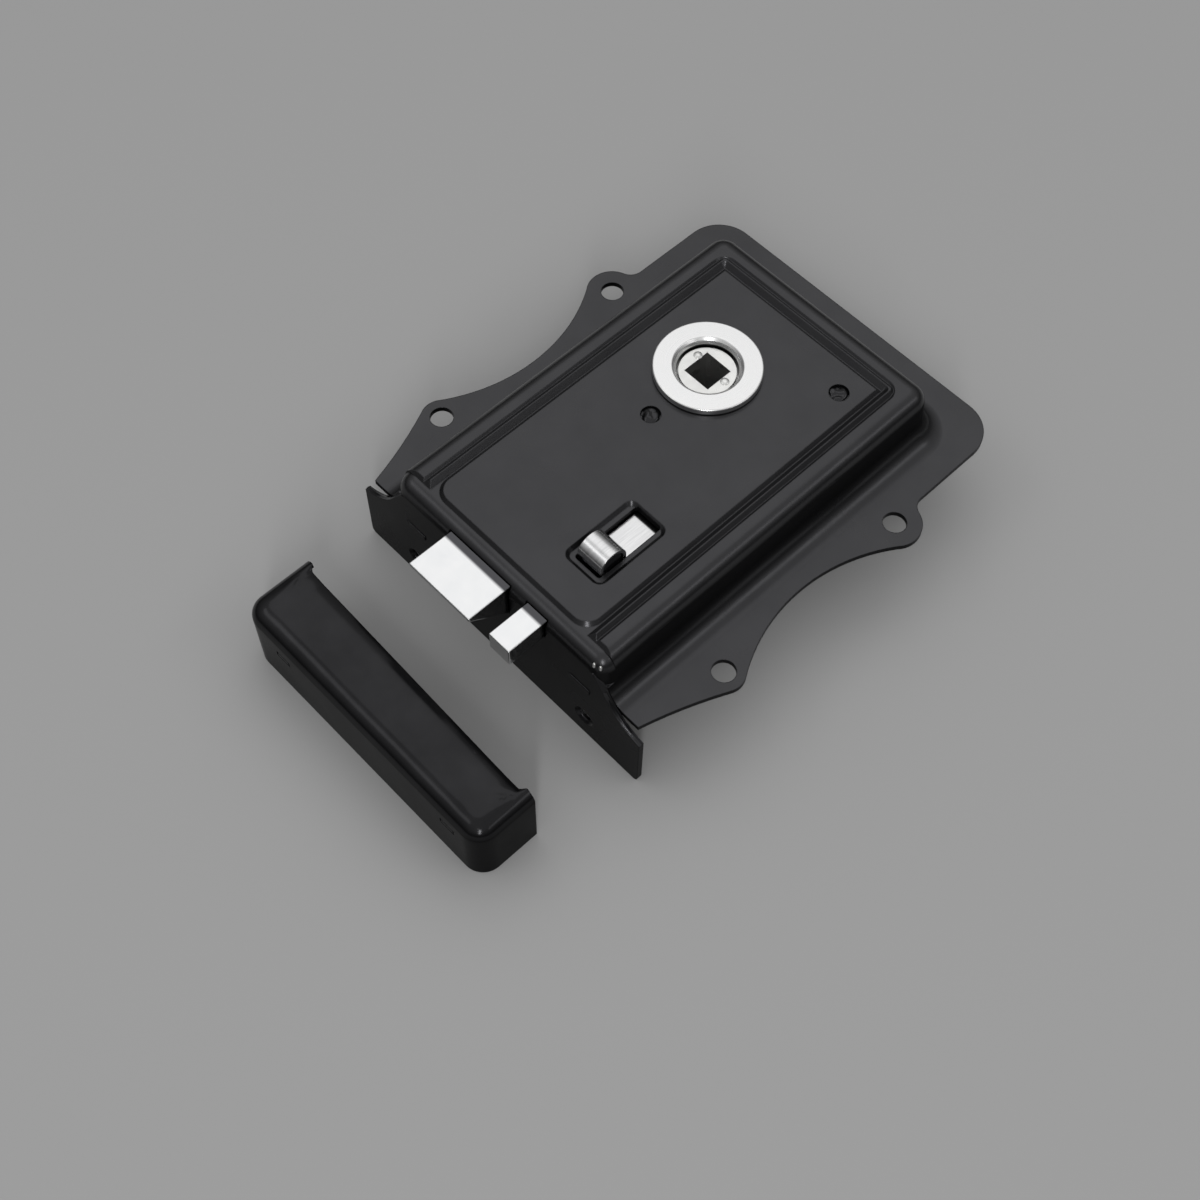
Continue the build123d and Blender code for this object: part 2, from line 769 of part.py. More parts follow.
# Latch spring: open coil round the rod, between the collar and the tail's lug
coil_length = tail_rear_x - sheet - rod_collar_x - spring_wire - 2 * running
spring_turns = int(coil_length / spring_pitch)
coil_start = (rod_collar_x + spring_wire / 2 + running, spindle_y, spring_axis_z)
with BuildPart() as latch_spring:
    with BuildLine() as coil:
        Helix(coil_length / spring_turns, coil_length, spring_coil_r, coil_start, (1, 0, 0))
    with BuildSketch(Plane(origin=coil.line @ 0, z_dir=coil.line % 0)):
        Rectangle(spring_wire, spring_wire)
    sweep(path=coil.line, is_frenet=True)
latch_spring.part.label = "latch_spring"
export_step(latch_spring.part, "parts/latch_spring.step")
coil_gap = coil_length / spring_turns - spring_wire
print("gap between the spring's turns", round(coil_gap, 2))

# Snib slide: strip on the privacy bolt, bent up through the slot into a thumb curl
sheet_mid_z = latch_top_z - snib_sheet / 2
curl_mid_r = snib_curl_r - snib_sheet / 2
bend_mid_r = snib_bend_r + snib_sheet / 2
curl_rear_x = snib_curl_x - curl_mid_r
snib_rear_x = privacy_tail_x + snib_sheet
with BuildPart() as snib_slide:
    with BuildSketch(upright(0, privacy_y)):
        with BuildLine() as run:
            Line((snib_rear_x, sheet_mid_z), (curl_rear_x - bend_mid_r, sheet_mid_z))
            CenterArc((curl_rear_x - bend_mid_r, sheet_mid_z + bend_mid_r), bend_mid_r, 270, 90)
            Line((curl_rear_x, sheet_mid_z + bend_mid_r), (curl_rear_x, snib_curl_z))
            CenterArc((snib_curl_x, snib_curl_z), curl_mid_r, 180, -180)
            Line(
                (snib_curl_x + curl_mid_r, snib_curl_z),
                (snib_curl_x + curl_mid_r, snib_curl_z - snib_curl_drop),
            )
        trace(line_width=snib_sheet)
    extrude(amount=snib_width / 2, both=True)
    snib_rivet_places = [(snib_rivet_x + i * snib_rivet_pitch, privacy_y) for i in range(2)]
    with BuildSketch(Plane.XY.offset(strip_bottom_z)):
        with Locations(*snib_rivet_places):
            Circle(snib_rivet_r + seat_gap)
    extrude(amount=snib_sheet, mode=Mode.SUBTRACT)
snib_slide.part.label = "snib_slide"
export_step(snib_slide.part, "parts/snib_slide.step")

# Privacy bolt: square bar, stepped down under the strip
privacy_tip_x = fore_end_x + privacy_projection
bolt_outline = [
    (privacy_tail_x, privacy_bottom_z),
    (privacy_tip_x, privacy_bottom_z),
    (privacy_tip_x, latch_top_z),
    (curl_rear_x + snib_sheet, latch_top_z),
    (curl_rear_x + snib_sheet, strip_bottom_z),
    (privacy_tail_x, strip_bottom_z),
]
with BuildPart() as privacy_bolt:
    with BuildSketch(upright(0, privacy_y)):
        with BuildLine():
            Polyline(*bolt_outline, close=True)
        make_face()
    extrude(amount=privacy_width / 2, both=True)
    fillet(faces().sort_by(Axis.X)[-1].edges(), radius=privacy_edge_r)
    with BuildSketch(Plane.XY.offset(strip_bottom_z - snib_rivet_depth)):
        with Locations(*snib_rivet_places):
            Circle(snib_rivet_r + seat_gap)
    extrude(amount=snib_rivet_depth, mode=Mode.SUBTRACT)
privacy_bolt.part.label = "privacy_bolt"
export_step(privacy_bolt.part, "parts/privacy_bolt.step")

# Snib rivets: strip to bolt, behind the slot where the case hides them
snib_rivet_base = strip_bottom_z - snib_rivet_depth
with BuildPart() as snib_rivets:
    for x, y in snib_rivet_places:
        add(
            headed_pin(
                x, y, snib_rivet_base, snib_rivet_r, latch_top_z, snib_rivet_head_r, snib_rivet_head
            )
        )
snib_rivets.part.label = "snib_rivets"
export_step(snib_rivets.part, "parts/snib_rivets.step")

# Bolt bridge: sheet bridge over the cap with two cheeks that guide the privacy bolt
bridge_end_x = bridge_x + bridge_length
bridge_under_z = privacy_bottom_z - sheet
cheek_y = privacy_width / 2 + slide_gap
bridge_outline = [
    (bridge_x - bridge_foot, sheet),
    (bridge_x + sheet, sheet),
    (bridge_x + sheet, bridge_under_z),
    (bridge_end_x - sheet, bridge_under_z),
    (bridge_end_x - sheet, sheet),
    (bridge_end_x + bridge_foot, sheet),
    (bridge_end_x + bridge_foot, 2 * sheet),
    (bridge_end_x, 2 * sheet),
    (bridge_end_x, privacy_bottom_z),
    (bridge_x, privacy_bottom_z),
    (bridge_x, 2 * sheet),
    (bridge_x - bridge_foot, 2 * sheet),
]
with BuildPart() as bolt_bridge:
    with BuildSketch(upright(0, privacy_y)):
        with BuildLine():
            Polyline(*bridge_outline, close=True)
        make_face()
    extrude(amount=bridge_foot_width / 2, both=True)
    with BuildSketch(Plane.XY.offset(bridge_under_z)):
        with Locations((bridge_x + bridge_length / 2, privacy_y)):
            Rectangle(bridge_length - 2 * sheet, 2 * (cheek_y + sheet))
    extrude(amount=sheet)
    with BuildSketch(Plane.XY.offset(bridge_under_z)):
        for side in (-1, 1):
            with Locations((bridge_x + bridge_length / 2, privacy_y + side * (cheek_y + sheet / 2))):
                Rectangle(bridge_length - 2 * sheet, sheet)
    extrude(amount=sheet + bridge_cheek)
    with BuildSketch(Plane.XY.offset(sheet)):
        with Locations(*[(x, privacy_y) for x in bridge_feet_x]):
            Circle(bridge_rivet_r + seat_gap)
    extrude(amount=sheet, mode=Mode.SUBTRACT)
bolt_bridge.part.label = "bolt_bridge"
export_step(bolt_bridge.part, "parts/bolt_bridge.step")

# Bridge rivets: from the cap up through the feet of the bridge
with BuildPart() as bridge_rivets:
    for x in bridge_feet_x:
        add(
            headed_pin(
                x, privacy_y, 0, bridge_rivet_r, 2 * sheet, bridge_rivet_head_r, bridge_rivet_head
            )
        )
bridge_rivets.part.label = "bridge_rivets"
export_step(bridge_rivets.part, "parts/bridge_rivets.step")

# Leaf spring: bowed against the side of the privacy bolt, wrapped round its two posts
with BuildPart() as leaf_spring:
    with BuildSketch(Plane.XY.offset(leaf_bottom_z)):
        with BuildLine():
            first_wrap = CenterArc(
                post_places[0], wrap_r, 270 - leaf_bow_angle - leaf_wrap, leaf_wrap
            )
            bow = JernArc(first_wrap @ 1, first_wrap % 1, leaf_r, 2 * leaf_bow_angle)
            CenterArc(post_places[1], wrap_r, 270 + leaf_bow_angle, leaf_wrap)
        trace(line_width=leaf_thickness)
    extrude(amount=leaf_height)
leaf_spring.part.label = "leaf_spring"
export_step(leaf_spring.part, "parts/leaf_spring.step")

# Leaf posts: shouldered, riveted in the cap
post_top_z = leaf_bottom_z + leaf_height + post_top
post_outline = [
    (0, 0),
    (post_spigot_r, 0),
    (post_spigot_r, sheet),
    (post_shoulder_r, sheet),
    (post_shoulder_r, leaf_bottom_z),
    (post_r - running, leaf_bottom_z),
    (post_r - running, post_top_z),
    (0, post_top_z),
]
with BuildPart() as leaf_posts:
    for x, y in post_places:
        add(turned(x, y, post_outline))
leaf_posts.part.label = "leaf_posts"
export_step(leaf_posts.part, "parts/leaf_posts.step")


def keep_form(inset, open_x):
    """Box of the keep with round shoulders, open towards the lock and at the back."""
    outer_x = keep_x + keep_width - inset
    half = keep_length / 2 - inset
    top_z = -inset
    drop = keep_lip_drop / keep_lip_width
    with BuildPart() as form:
        with BuildSketch(Plane.XY.offset(-keep_depth)):
            with Locations(((outer_x - far) / 2, 0)):
                Rectangle(outer_x + far, 2 * half)
            fillet(vertices().group_by(Axis.X)[-1], radius=keep_corner_r - inset)
        extrude(amount=keep_depth - inset)
        split(bisect_by=Plane.YZ.offset(open_x), keep=Keep.TOP)
        brow = faces().sort_by(Axis.Z)[-1].edges()
        brow = brow.filter_by_position(Axis.X, open_x + sheet / 2, outer_x)
        soften(brow, keep_shoulder_r - inset, inset)
        with BuildSketch(Plane.XZ):
            with BuildLine():
                Polyline(
                    (keep_x + keep_lip_width, top_z),
                    (open_x - sheet, top_z),
                    (open_x - sheet, top_z - drop * (keep_x + keep_lip_width - open_x + sheet)),
                    close=True,
                )
            make_face()
        extrude(amount=keep_lip_length / 2, both=True, mode=Mode.SUBTRACT)
    return form.part


# Keep box: folded box with a rolled lip and two slits for the bracket's tabs
keep_outer_x = keep_x + keep_width
keep_inner_x = keep_outer_x - sheet
with BuildPart() as keep_box:
    add(keep_form(0, keep_x))
    add(keep_form(sheet, keep_x - sheet), mode=Mode.SUBTRACT)
    with BuildSketch(Plane.YZ.offset(keep_inner_x)):
        with Locations(*[(y, -keep_tab_z) for y in keep_tab_y]):
            Rectangle(keep_tab_width + 2 * seat_gap, bracket_sheet + 2 * seat_gap)
    extrude(amount=sheet, mode=Mode.SUBTRACT)
keep_box.part.label = "keep_box"
export_step(keep_box.part, "parts/keep_box.step")

# Keep bracket: angle inside the box, screwed to the frame, with tabs through the slits
bracket_x = keep_inner_x - bracket_sheet
with BuildPart() as keep_bracket:
    with BuildSketch(Plane.XY.offset(-keep_depth)):
        with Locations((keep_inner_x - bracket_foot / 2, 0)):
            Rectangle(bracket_foot, bracket_length)
        fillet(vertices().group_by(Axis.X)[0], radius=bracket_corner_r)
    extrude(amount=bracket_sheet)
    with BuildSketch(Plane.YZ.offset(bracket_x)):
        wall_height = keep_depth - keep_tab_z + bracket_sheet / 2
        with Locations((0, wall_height / 2 - keep_depth)):
            Rectangle(bracket_length, wall_height)
        fillet(vertices().group_by(Axis.Y)[-1], radius=bracket_corner_r)
    extrude(amount=bracket_sheet)
    with BuildSketch(Plane.YZ.offset(keep_inner_x)):
        with Locations(*[(y, -keep_tab_z) for y in keep_tab_y]):
            Rectangle(keep_tab_width, bracket_sheet)
    extrude(amount=sheet)
    for side in (-1, 1):
        hole_y = side * keep_hole_spacing / 2
        hole_z = bracket_sheet - keep_depth
        with Locations(Plane(origin=(keep_hole_x, hole_y, hole_z))):
            CounterSinkHole(
                keep_hole_r, keep_sink_r, depth=2 * bracket_sheet, counter_sink_angle=sink_angle
            )
keep_bracket.part.label = "keep_bracket"
export_step(keep_bracket.part, "parts/keep_bracket.step")
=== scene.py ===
# %% [markdown]
# # A black rim lock with its box keep
#
# A rim lock is screwed on the face of a door. Its parts are few and plain: a pressed
# case, a sprung latch with a slope, a small square privacy bolt with a curled snib, a
# turned rose round the spindle's socket, and a folded box keep for the door frame.
# This lesson dresses the measured solids of that lock. The solids keep every size and
# every joint; the scene adds turned edges, wound wire, hammered rivet ends and finishes.

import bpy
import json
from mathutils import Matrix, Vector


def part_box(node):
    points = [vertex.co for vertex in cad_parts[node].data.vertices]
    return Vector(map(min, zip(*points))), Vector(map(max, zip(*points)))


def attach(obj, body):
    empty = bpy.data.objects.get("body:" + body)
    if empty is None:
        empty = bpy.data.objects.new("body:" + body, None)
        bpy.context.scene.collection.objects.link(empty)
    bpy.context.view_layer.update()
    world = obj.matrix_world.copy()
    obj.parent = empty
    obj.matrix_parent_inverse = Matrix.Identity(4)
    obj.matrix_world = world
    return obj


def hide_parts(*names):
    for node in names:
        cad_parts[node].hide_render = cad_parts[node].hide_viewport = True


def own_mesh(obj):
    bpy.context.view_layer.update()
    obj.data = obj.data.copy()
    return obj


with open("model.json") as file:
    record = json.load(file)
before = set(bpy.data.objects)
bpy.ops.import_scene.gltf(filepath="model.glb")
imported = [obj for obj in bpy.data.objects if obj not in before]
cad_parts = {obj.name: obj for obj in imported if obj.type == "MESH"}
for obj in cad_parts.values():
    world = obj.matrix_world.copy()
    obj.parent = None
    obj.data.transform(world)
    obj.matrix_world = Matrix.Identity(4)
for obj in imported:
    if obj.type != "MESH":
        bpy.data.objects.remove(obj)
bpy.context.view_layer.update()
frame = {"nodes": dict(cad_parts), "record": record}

import json
from math import atan2, cos, exp, pi, radians, sin, tan

import bmesh
import bpy
from mathutils import Matrix, Vector, noise

MM = 0.001
nodes = frame["nodes"]

# %% [markdown]
# ## Where the camera stands
#
# The photograph looks down on the corner between the fore-end and the privacy bolt's
# side, from about 60 degrees up. A camera can be aimed with an object constraint, but
# three plain vectors are easier to check: one from the target to the camera, one to the
# right and one up. The last two are turned a little, by the roll of the photograph.

# %% Aim the camera
AZIMUTH = 45.30
ELEVATION = 59.89
ROLL = radians(1.20)
DISTANCE = 0.4218
TARGET = Vector((0.0372, 0.0157, 0.0))
LENS = 52.84
SENSOR = 36.0
NEAREST_SEEN = 0.01


def heading(azimuth, elevation):
    """Direction of length 1, from an azimuth and an elevation in degrees."""
    az, el = radians(azimuth), radians(elevation)
    return Vector((cos(el) * cos(az), cos(el) * sin(az), sin(el)))


toward = heading(AZIMUTH, ELEVATION)
level_right = heading(AZIMUTH + 90.0, 0.0)
level_up = toward.cross(level_right)
right = level_right * cos(ROLL) + level_up * sin(ROLL)
up = level_up * cos(ROLL) - level_right * sin(ROLL)

camera = bpy.data.objects.new("camera", bpy.data.cameras.new("camera"))
camera.data.lens = LENS
camera.data.sensor_width = SENSOR
camera.data.clip_start = NEAREST_SEEN
camera.matrix_world = Matrix.Translation(TARGET + toward * DISTANCE) @ Matrix(
    (right, up, toward)
).transposed().to_4x4()
bpy.context.scene.collection.objects.link(camera)
bpy.context.scene.camera = camera
print("camera at", [round(v, 3) for v in camera.matrix_world.translation])

# %% [markdown]
# ## Nodes in few words
#
# Finishes, sky and small shapes are all made of nodes. A node can be made and linked in
# three or four lines each, and soon nobody can read them. Two short helpers do the same
# in one call: a keyword is the name of a socket, and its value is a number to set or an
# output to link. They serve materials, the sky and Geometry Nodes alike.

# %% Helpers for nodes


def fill(node, **sockets):
    """Set or link the named sockets of a node, with underscores for spaces."""
    for label, value in sockets.items():
        socket = node.inputs[label.replace("_", " ")]
        if isinstance(value, bpy.types.NodeSocket):
            node.id_data.links.new(value, socket)
        else:
            socket.default_value = value
    return node


def new_node(tree, kind, settings=None, **sockets):
    """New node of a kind in a tree, with its settings and its sockets."""
    node = tree.nodes.new(kind)
    for label, value in (settings or {}).items():
        setattr(node, label, value)
    return fill(node, **sockets)


SMOOTHLY = {"interpolation_type": "SMOOTHSTEP"}
print("helpers for nodes:", fill.__name__, new_node.__name__)

# %% [markdown] ## The floor  The lock and the keep stand on the lower edges of the
# fore-end and of the keep, 22 mm below the door side of the flange. A backdrop could be
# curved up behind them, but from this height the camera sees floor alone, so one large
# square of dull pale paint is enough.

# %% Lay the floor
FLOOR_Z = -22.0 * MM
FLOOR_HALF = 6.0
FLOOR_GREY = 0.44

floor_finish = bpy.data.materials.new("floor_paint")
floor_finish.use_nodes = True
fill(
    floor_finish.node_tree.nodes["Principled BSDF"],
    Base_Color=(FLOOR_GREY, FLOOR_GREY, FLOOR_GREY, 1.0),
    Roughness=0.9,
    Specular_IOR_Level=0.1,
)
floor_mesh = bpy.data.meshes.new("floor")
corners = [(-1, -1), (1, -1), (1, 1), (-1, 1)]
floor_mesh.from_pydata(
    [(x * FLOOR_HALF, y * FLOOR_HALF, FLOOR_Z) for x, y in corners], [], [(0, 1, 2, 3)]
)
floor_mesh.materials.append(floor_finish)
floor = bpy.data.objects.new("floor", floor_mesh)
bpy.context.scene.collection.objects.link(floor)
print("floor at", FLOOR_Z, "m")

# %% [markdown]
# ## Light
#
# Bright metal looks like what it mirrors, so one wide lamp hangs where the flat tops
# mirror it to the camera. Two long, low ones draw the lines of light along the bends, and
# a slim, upright one on the camera's side leaves a glint on each rounded corner. A sky
# picture could fill in the rest; a smooth step from a dark horizon to a pale zenith does
# it here, because plain enamel shows no more of it than that.

# %% Hang the lamps and the sky
LAMPS = {
    "top_lamp": dict(azimuth=225.0, elevation=60.0, distance=2.0, size=(1.5, 1.5), power=3.4),
    "long_side_lamp": dict(
        azimuth=118.0, elevation=40.0, distance=1.6, size=(1.3, 0.26), power=1.4
    ),
    "front_lamp": dict(azimuth=314.0, elevation=52.0, distance=1.6, size=(0.9, 0.30), power=0.9),
    "near_lamp": dict(azimuth=45.0, elevation=38.0, distance=1.6, size=(0.16, 0.70), power=5.0),
}
SKY_LOW = 0.02
SKY_HIGH = 0.72
WHITE = (1.0, 1.0, 1.0, 1.0)


def soft_lamp(name, azimuth, elevation, distance, size, power):
    """Rectangular lamp that faces the lock from a direction in degrees."""
    data = bpy.data.lights.new(name, "AREA")
    data.shape = "RECTANGLE"
    data.size, data.size_y = size
    data.energy = power
    lamp = bpy.data.objects.new(name, data)
    way = heading(azimuth, elevation)
    lamp.location = TARGET + way * distance
    lamp.rotation_euler = way.to_track_quat("Z", "Y").to_euler()
    bpy.context.scene.collection.objects.link(lamp)


for name, values in LAMPS.items():
    soft_lamp(name, **values)

world = bpy.data.worlds.new("sky")
world.use_nodes = True
sky = world.node_tree
view = new_node(sky, "ShaderNodeTexCoord").outputs["Generated"]
height = new_node(sky, "ShaderNodeSeparateXYZ", Vector=view).outputs["Z"]
glow = new_node(
    sky,
    "ShaderNodeMapRange",
    SMOOTHLY,
    Value=height,
    From_Min=0.0,
    From_Max=1.0,
    To_Min=SKY_LOW,
    To_Max=SKY_HIGH,
)
fill(sky.nodes["Background"], Color=WHITE, Strength=glow.outputs["Result"])
bpy.context.scene.world = world
bpy.context.scene.view_settings.view_transform = "Standard"

# %% [markdown]
# ## Finishes
#
# Every finish starts from the same few nodes, so one class holds them and each method
# adds a trait. The pattern is placed by the object's own coordinates in metres, so a
# noise scale of 1000 has features of a millimetre. A Bevel node rounds the light on sharp
# edges by a few tenths, as plating and paint do, and a Bump node adds what is too fine
# for the mesh.

# %% Helpers for the finishes
BEVEL_SAMPLES = 6
UPRIGHT = 0.1
FACING_UP = 0.6
# The Mix node repeats its socket names for every kind of value, so its colours go by number.
MIX_SHARE, MIX_FIRST, MIX_SECOND, MIX_COLOUR = 0, 6, 7, 2


class Finish:
    """A material under construction; patterns vary the plain values that it starts with."""

    def __init__(self, name, edge, colour, roughness, metallic=0.0):
        self.name = name
        self.material = bpy.data.materials.new(name)
        self.material.use_nodes = True
        self.shader = self.material.node_tree.nodes["Principled BSDF"]
        self.set(Base_Color=(*colour, 1.0), Roughness=roughness, Metallic=metallic)
        self.where = self.add("ShaderNodeTexCoord").outputs["Object"]
        self.normal = None
        if edge:
            soft_edge = self.add("ShaderNodeBevel", {"samples": BEVEL_SAMPLES}, Radius=edge)
            self.normal = soft_edge.outputs["Normal"]
            self.set(Normal=self.normal)

    def add(self, kind, settings=None, **sockets):
        """New node of a kind in this material."""
        return new_node(self.material.node_tree, kind, settings, **sockets)

    def set(self, **sockets):
        """Set or link sockets of the surface, such as Roughness."""
        fill(self.shader, **sockets)

    def stretched(self, scale):
        """Object coordinates with a scale of their own for each axis."""
        return self.add("ShaderNodeMapping", Vector=self.where, Scale=scale).outputs["Vector"]

    def along(self, axis):
        """Object coordinate along one axis, in metres."""
        return self.add("ShaderNodeSeparateXYZ", Vector=self.where).outputs[axis]

    def noise(self, scale, detail=2.0, rough=0.5, vector=None):
        """Noise whose scale counts features in a metre."""
        grain = self.add(
            "ShaderNodeTexNoise",
            Vector=vector or self.where,
            Scale=scale,
            Detail=detail,
            Roughness=rough,
        )
        return grain.outputs["Fac"]

    def spread(self, value, low, high, start=0.0, end=1.0):
        """Value read from one range and given in another."""
        node = self.add("ShaderNodeMapRange", Value=value, From_Min=start, From_Max=end)
        fill(node, To_Min=low, To_Max=high)
        return node.outputs["Result"]

    def drifting(self, low, high, **pattern):
        """Noise that drifts between two values."""
        return self.spread(self.noise(**pattern), low, high)

    def tones(self, share, first, second):
        """Base colour between two others, each of them a tone or an output."""
        mix = self.add("ShaderNodeMix", {"data_type": "RGBA"})
        tree = self.material.node_tree
        tree.links.new(share, mix.inputs[MIX_SHARE])
        for colour, socket in ((first, mix.inputs[MIX_FIRST]), (second, mix.inputs[MIX_SECOND])):
            if isinstance(colour, tuple):
                socket.default_value = (*colour, 1.0)
            else:
                tree.links.new(colour, socket)
        self.set(Base_Color=mix.outputs[MIX_COLOUR])

    def paint_dark_below(self, colour, axis, line):
        """Painted shade: a darker base colour below a line on one axis, over the base colour so
        far.
        """
        unshaded = self.spread(self.along(axis), 0.0, 1.0, *line)
        base = self.shader.inputs["Base Color"]
        under = base.links[0].from_socket if base.is_linked else tuple(base.default_value[:3])
        self.tones(unshaded, colour, under)

    def sprayed(self, value, shaded):
        """Value as paint from above gives it: whole on top, a share on upright walls."""
        facing = self.add("ShaderNodeTexCoord").outputs["Normal"]
        share = self.add(
            "ShaderNodeMapRange",
            SMOOTHLY,
            Value=self.add("ShaderNodeSeparateXYZ", Vector=facing).outputs["Z"],
            From_Min=UPRIGHT,
            From_Max=FACING_UP,
            To_Min=shaded,
            To_Max=1.0,
        )
        product = self.add("ShaderNodeMath", {"operation": "MULTIPLY"})
        for socket, factor in zip(product.inputs, (value, share.outputs["Result"])):
            self.material.node_tree.links.new(factor, socket)
        return product.outputs["Value"]

    def bump(self, value, height):
        """Fine relief on top of the relief so far, with a height in metres."""
        relief = self.add("ShaderNodeBump", Strength=1.0, Distance=height, Height=value)
        if self.normal:
            fill(relief, Normal=self.normal)
        self.normal = relief.outputs["Normal"]
        self.set(Normal=self.normal)


print("traits:", [trait for trait in vars(Finish) if not trait.startswith("_")])

# %% [markdown]
# ### Black enamel
#
# The case is sprayed satin black over a steel pressing. Sprayed paint is never quite
# flat: it has a fine orange peel, and its gloss drifts a little over the face. The spray
# comes from above, so upright walls got a thinner, duller coat. The keep is thicker and
# glossier, with long slow waves that bend what it mirrors. One noise could stand for all
# of that, but then every trait would change at the same places, so each has its own.

# %% Black enamel of the case and the keep
BLACK = (0.0045, 0.0045, 0.0048)
DUSTY = (0.0080, 0.0080, 0.0083)
COOL = (0.95, 0.95, 1.0, 1.0)
CASE_WALL_SHARE = 0.05
KEEP_WALL_SHARE = 0.06

case_enamel = Finish("case_enamel", edge=0.35 * MM, colour=BLACK, roughness=0.26)
case_enamel.tones(case_enamel.noise(scale=45.0, detail=3.0), BLACK, DUSTY)
case_enamel.set(Roughness=case_enamel.drifting(low=0.20, high=0.32, scale=60.0, detail=4.0))
case_enamel.bump(case_enamel.noise(scale=1400.0), height=0.012 * MM)
case_enamel.bump(case_enamel.noise(scale=90.0, detail=1.0), height=0.03 * MM)
gloss = case_enamel.drifting(low=0.50, high=0.70, scale=70.0, detail=5.0, rough=0.6)
case_enamel.set(Specular_IOR_Level=case_enamel.sprayed(gloss, CASE_WALL_SHARE))

keep_enamel = Finish("keep_enamel", edge=0.4 * MM, colour=BLACK, roughness=0.16)
keep_enamel.set(Roughness=keep_enamel.drifting(low=0.10, high=0.24, scale=40.0, detail=3.0))
keep_enamel.bump(keep_enamel.noise(scale=55.0, detail=1.0), height=0.12 * MM)
keep_enamel.bump(keep_enamel.noise(scale=700.0), height=0.006 * MM)
gloss = keep_enamel.drifting(low=0.18, high=0.42, scale=80.0, detail=5.0, rough=0.6)
keep_enamel.set(Specular_IOR_Level=keep_enamel.sprayed(gloss, KEEP_WALL_SHARE))

pillar_black = Finish("pillar_black", edge=0.15 * MM, colour=BLACK, roughness=0.14)
pillar_black.set(Roughness=pillar_black.drifting(low=0.08, high=0.26, scale=900.0))
pillar_black.bump(pillar_black.noise(scale=1100.0, detail=1.0), height=0.05 * MM)

ENAMELS = (case_enamel, keep_enamel, pillar_black)
for enamel in ENAMELS:
    enamel.set(Specular_Tint=COOL)
print("enamels:", [enamel.name for enamel in ENAMELS])

# %% [markdown]
# ### Bright metal
#
# The bolts are milled and zinc plated, and the snib is chromed over a brushed surface.
# Scratches can be drawn one by one as thin lines; a noise that is squeezed along one axis
# reads the same and costs two nodes. Inner parts are plain plated steel, and the springs
# are darker steel without plating.

# %% Zinc, brushed chrome and steel
bright_zinc = Finish(
    "bright_zinc", edge=0.25 * MM, colour=(0.80, 0.81, 0.82), roughness=0.30, metallic=1.0
)
scratches = dict(scale=3.0, detail=3.0, rough=0.6, vector=bright_zinc.stretched((900, 40, 900)))
bright_zinc.set(Roughness=bright_zinc.drifting(low=0.06, high=0.16, **scratches))
bright_zinc.bump(bright_zinc.noise(**scratches), height=0.010 * MM)
bright_zinc.tones(
    bright_zinc.noise(scale=300.0, detail=3.0), (0.70, 0.71, 0.72), (0.78, 0.78, 0.78)
)

brushed_chrome = Finish(
    "brushed_chrome", edge=0.2 * MM, colour=(0.74, 0.74, 0.75), roughness=0.22, metallic=1.0
)
brushing = dict(scale=1.0, rough=0.6, vector=brushed_chrome.stretched((120, 2600, 120)))
brushed_chrome.set(
    Roughness=brushed_chrome.drifting(low=0.12, high=0.34, detail=3.0, **brushing)
)
brushed_chrome.bump(brushed_chrome.noise(detail=3.0, **brushing), height=0.020 * MM)
brushed_chrome.tones(brushed_chrome.noise(**brushing), (0.50, 0.50, 0.51), (0.88, 0.88, 0.88))

plated_steel = Finish(
    "plated_steel", edge=0.2 * MM, colour=(0.62, 0.62, 0.60), roughness=0.36, metallic=1.0
)
plated_steel.tones(
    plated_steel.noise(scale=220.0, detail=3.0), (0.66, 0.66, 0.65), (0.84, 0.84, 0.82)
)
plated_steel.set(Roughness=plated_steel.drifting(low=0.20, high=0.40, scale=500.0, detail=3.0))
plated_steel.bump(plated_steel.noise(scale=1500.0), height=0.006 * MM)

spring_steel = Finish(
    "spring_steel", edge=0.0, colour=(0.42, 0.42, 0.44), roughness=0.3, metallic=1.0
)
spring_steel.set(Roughness=spring_steel.drifting(low=0.22, high=0.42, scale=1800.0))
spring_steel.tones(spring_steel.noise(scale=700.0), (0.34, 0.34, 0.36), (0.50, 0.50, 0.52))
print("metals:", bright_zinc.name, brushed_chrome.name, plated_steel.name, spring_steel.name)

# %% [markdown]
# ### Turned chrome of the rose
#
# The rose is turned, so its brushing runs in rings about the spindle. A squeezed noise
# makes straight scratches only. The distance from the spindle's axis is worked out in the
# material instead, and a noise in one dimension is read along it.

# %% Rings on the rose
SPINDLE = Vector((-20.6 * MM, -6.6 * MM, 0.0))
LEVEL = (1.0, 1.0, 0.0)


def worked_out(finish, operation, vector, other=None):
    """Vector Math node of a finish, on an output and a fixed vector."""
    node = finish.add("ShaderNodeVectorMath", {"operation": operation})
    finish.material.node_tree.links.new(vector, node.inputs[0])
    if other is not None:
        node.inputs[1].default_value = other
    return node


def ring_noise(finish, per_metre):
    """Noise that changes with the distance from the spindle's axis alone."""
    from_axis = worked_out(finish, "SUBTRACT", finish.where, SPINDLE).outputs["Vector"]
    flat = worked_out(finish, "MULTIPLY", from_axis, LEVEL).outputs["Vector"]
    distance = worked_out(finish, "LENGTH", flat).outputs["Value"]
    grain = finish.add(
        "ShaderNodeTexNoise", {"noise_dimensions": "1D"}, W=distance, Scale=per_metre, Detail=3.0
    )
    return grain.outputs["Fac"]


polished_chrome = Finish(
    "polished_chrome", edge=0.2 * MM, colour=(0.80, 0.80, 0.80), roughness=0.24, metallic=1.0
)
rings = ring_noise(polished_chrome, per_metre=5200.0)
polished_chrome.set(Roughness=polished_chrome.spread(rings, low=0.24, high=0.32))
polished_chrome.bump(rings, height=0.002 * MM)
print("rings on", polished_chrome.name)
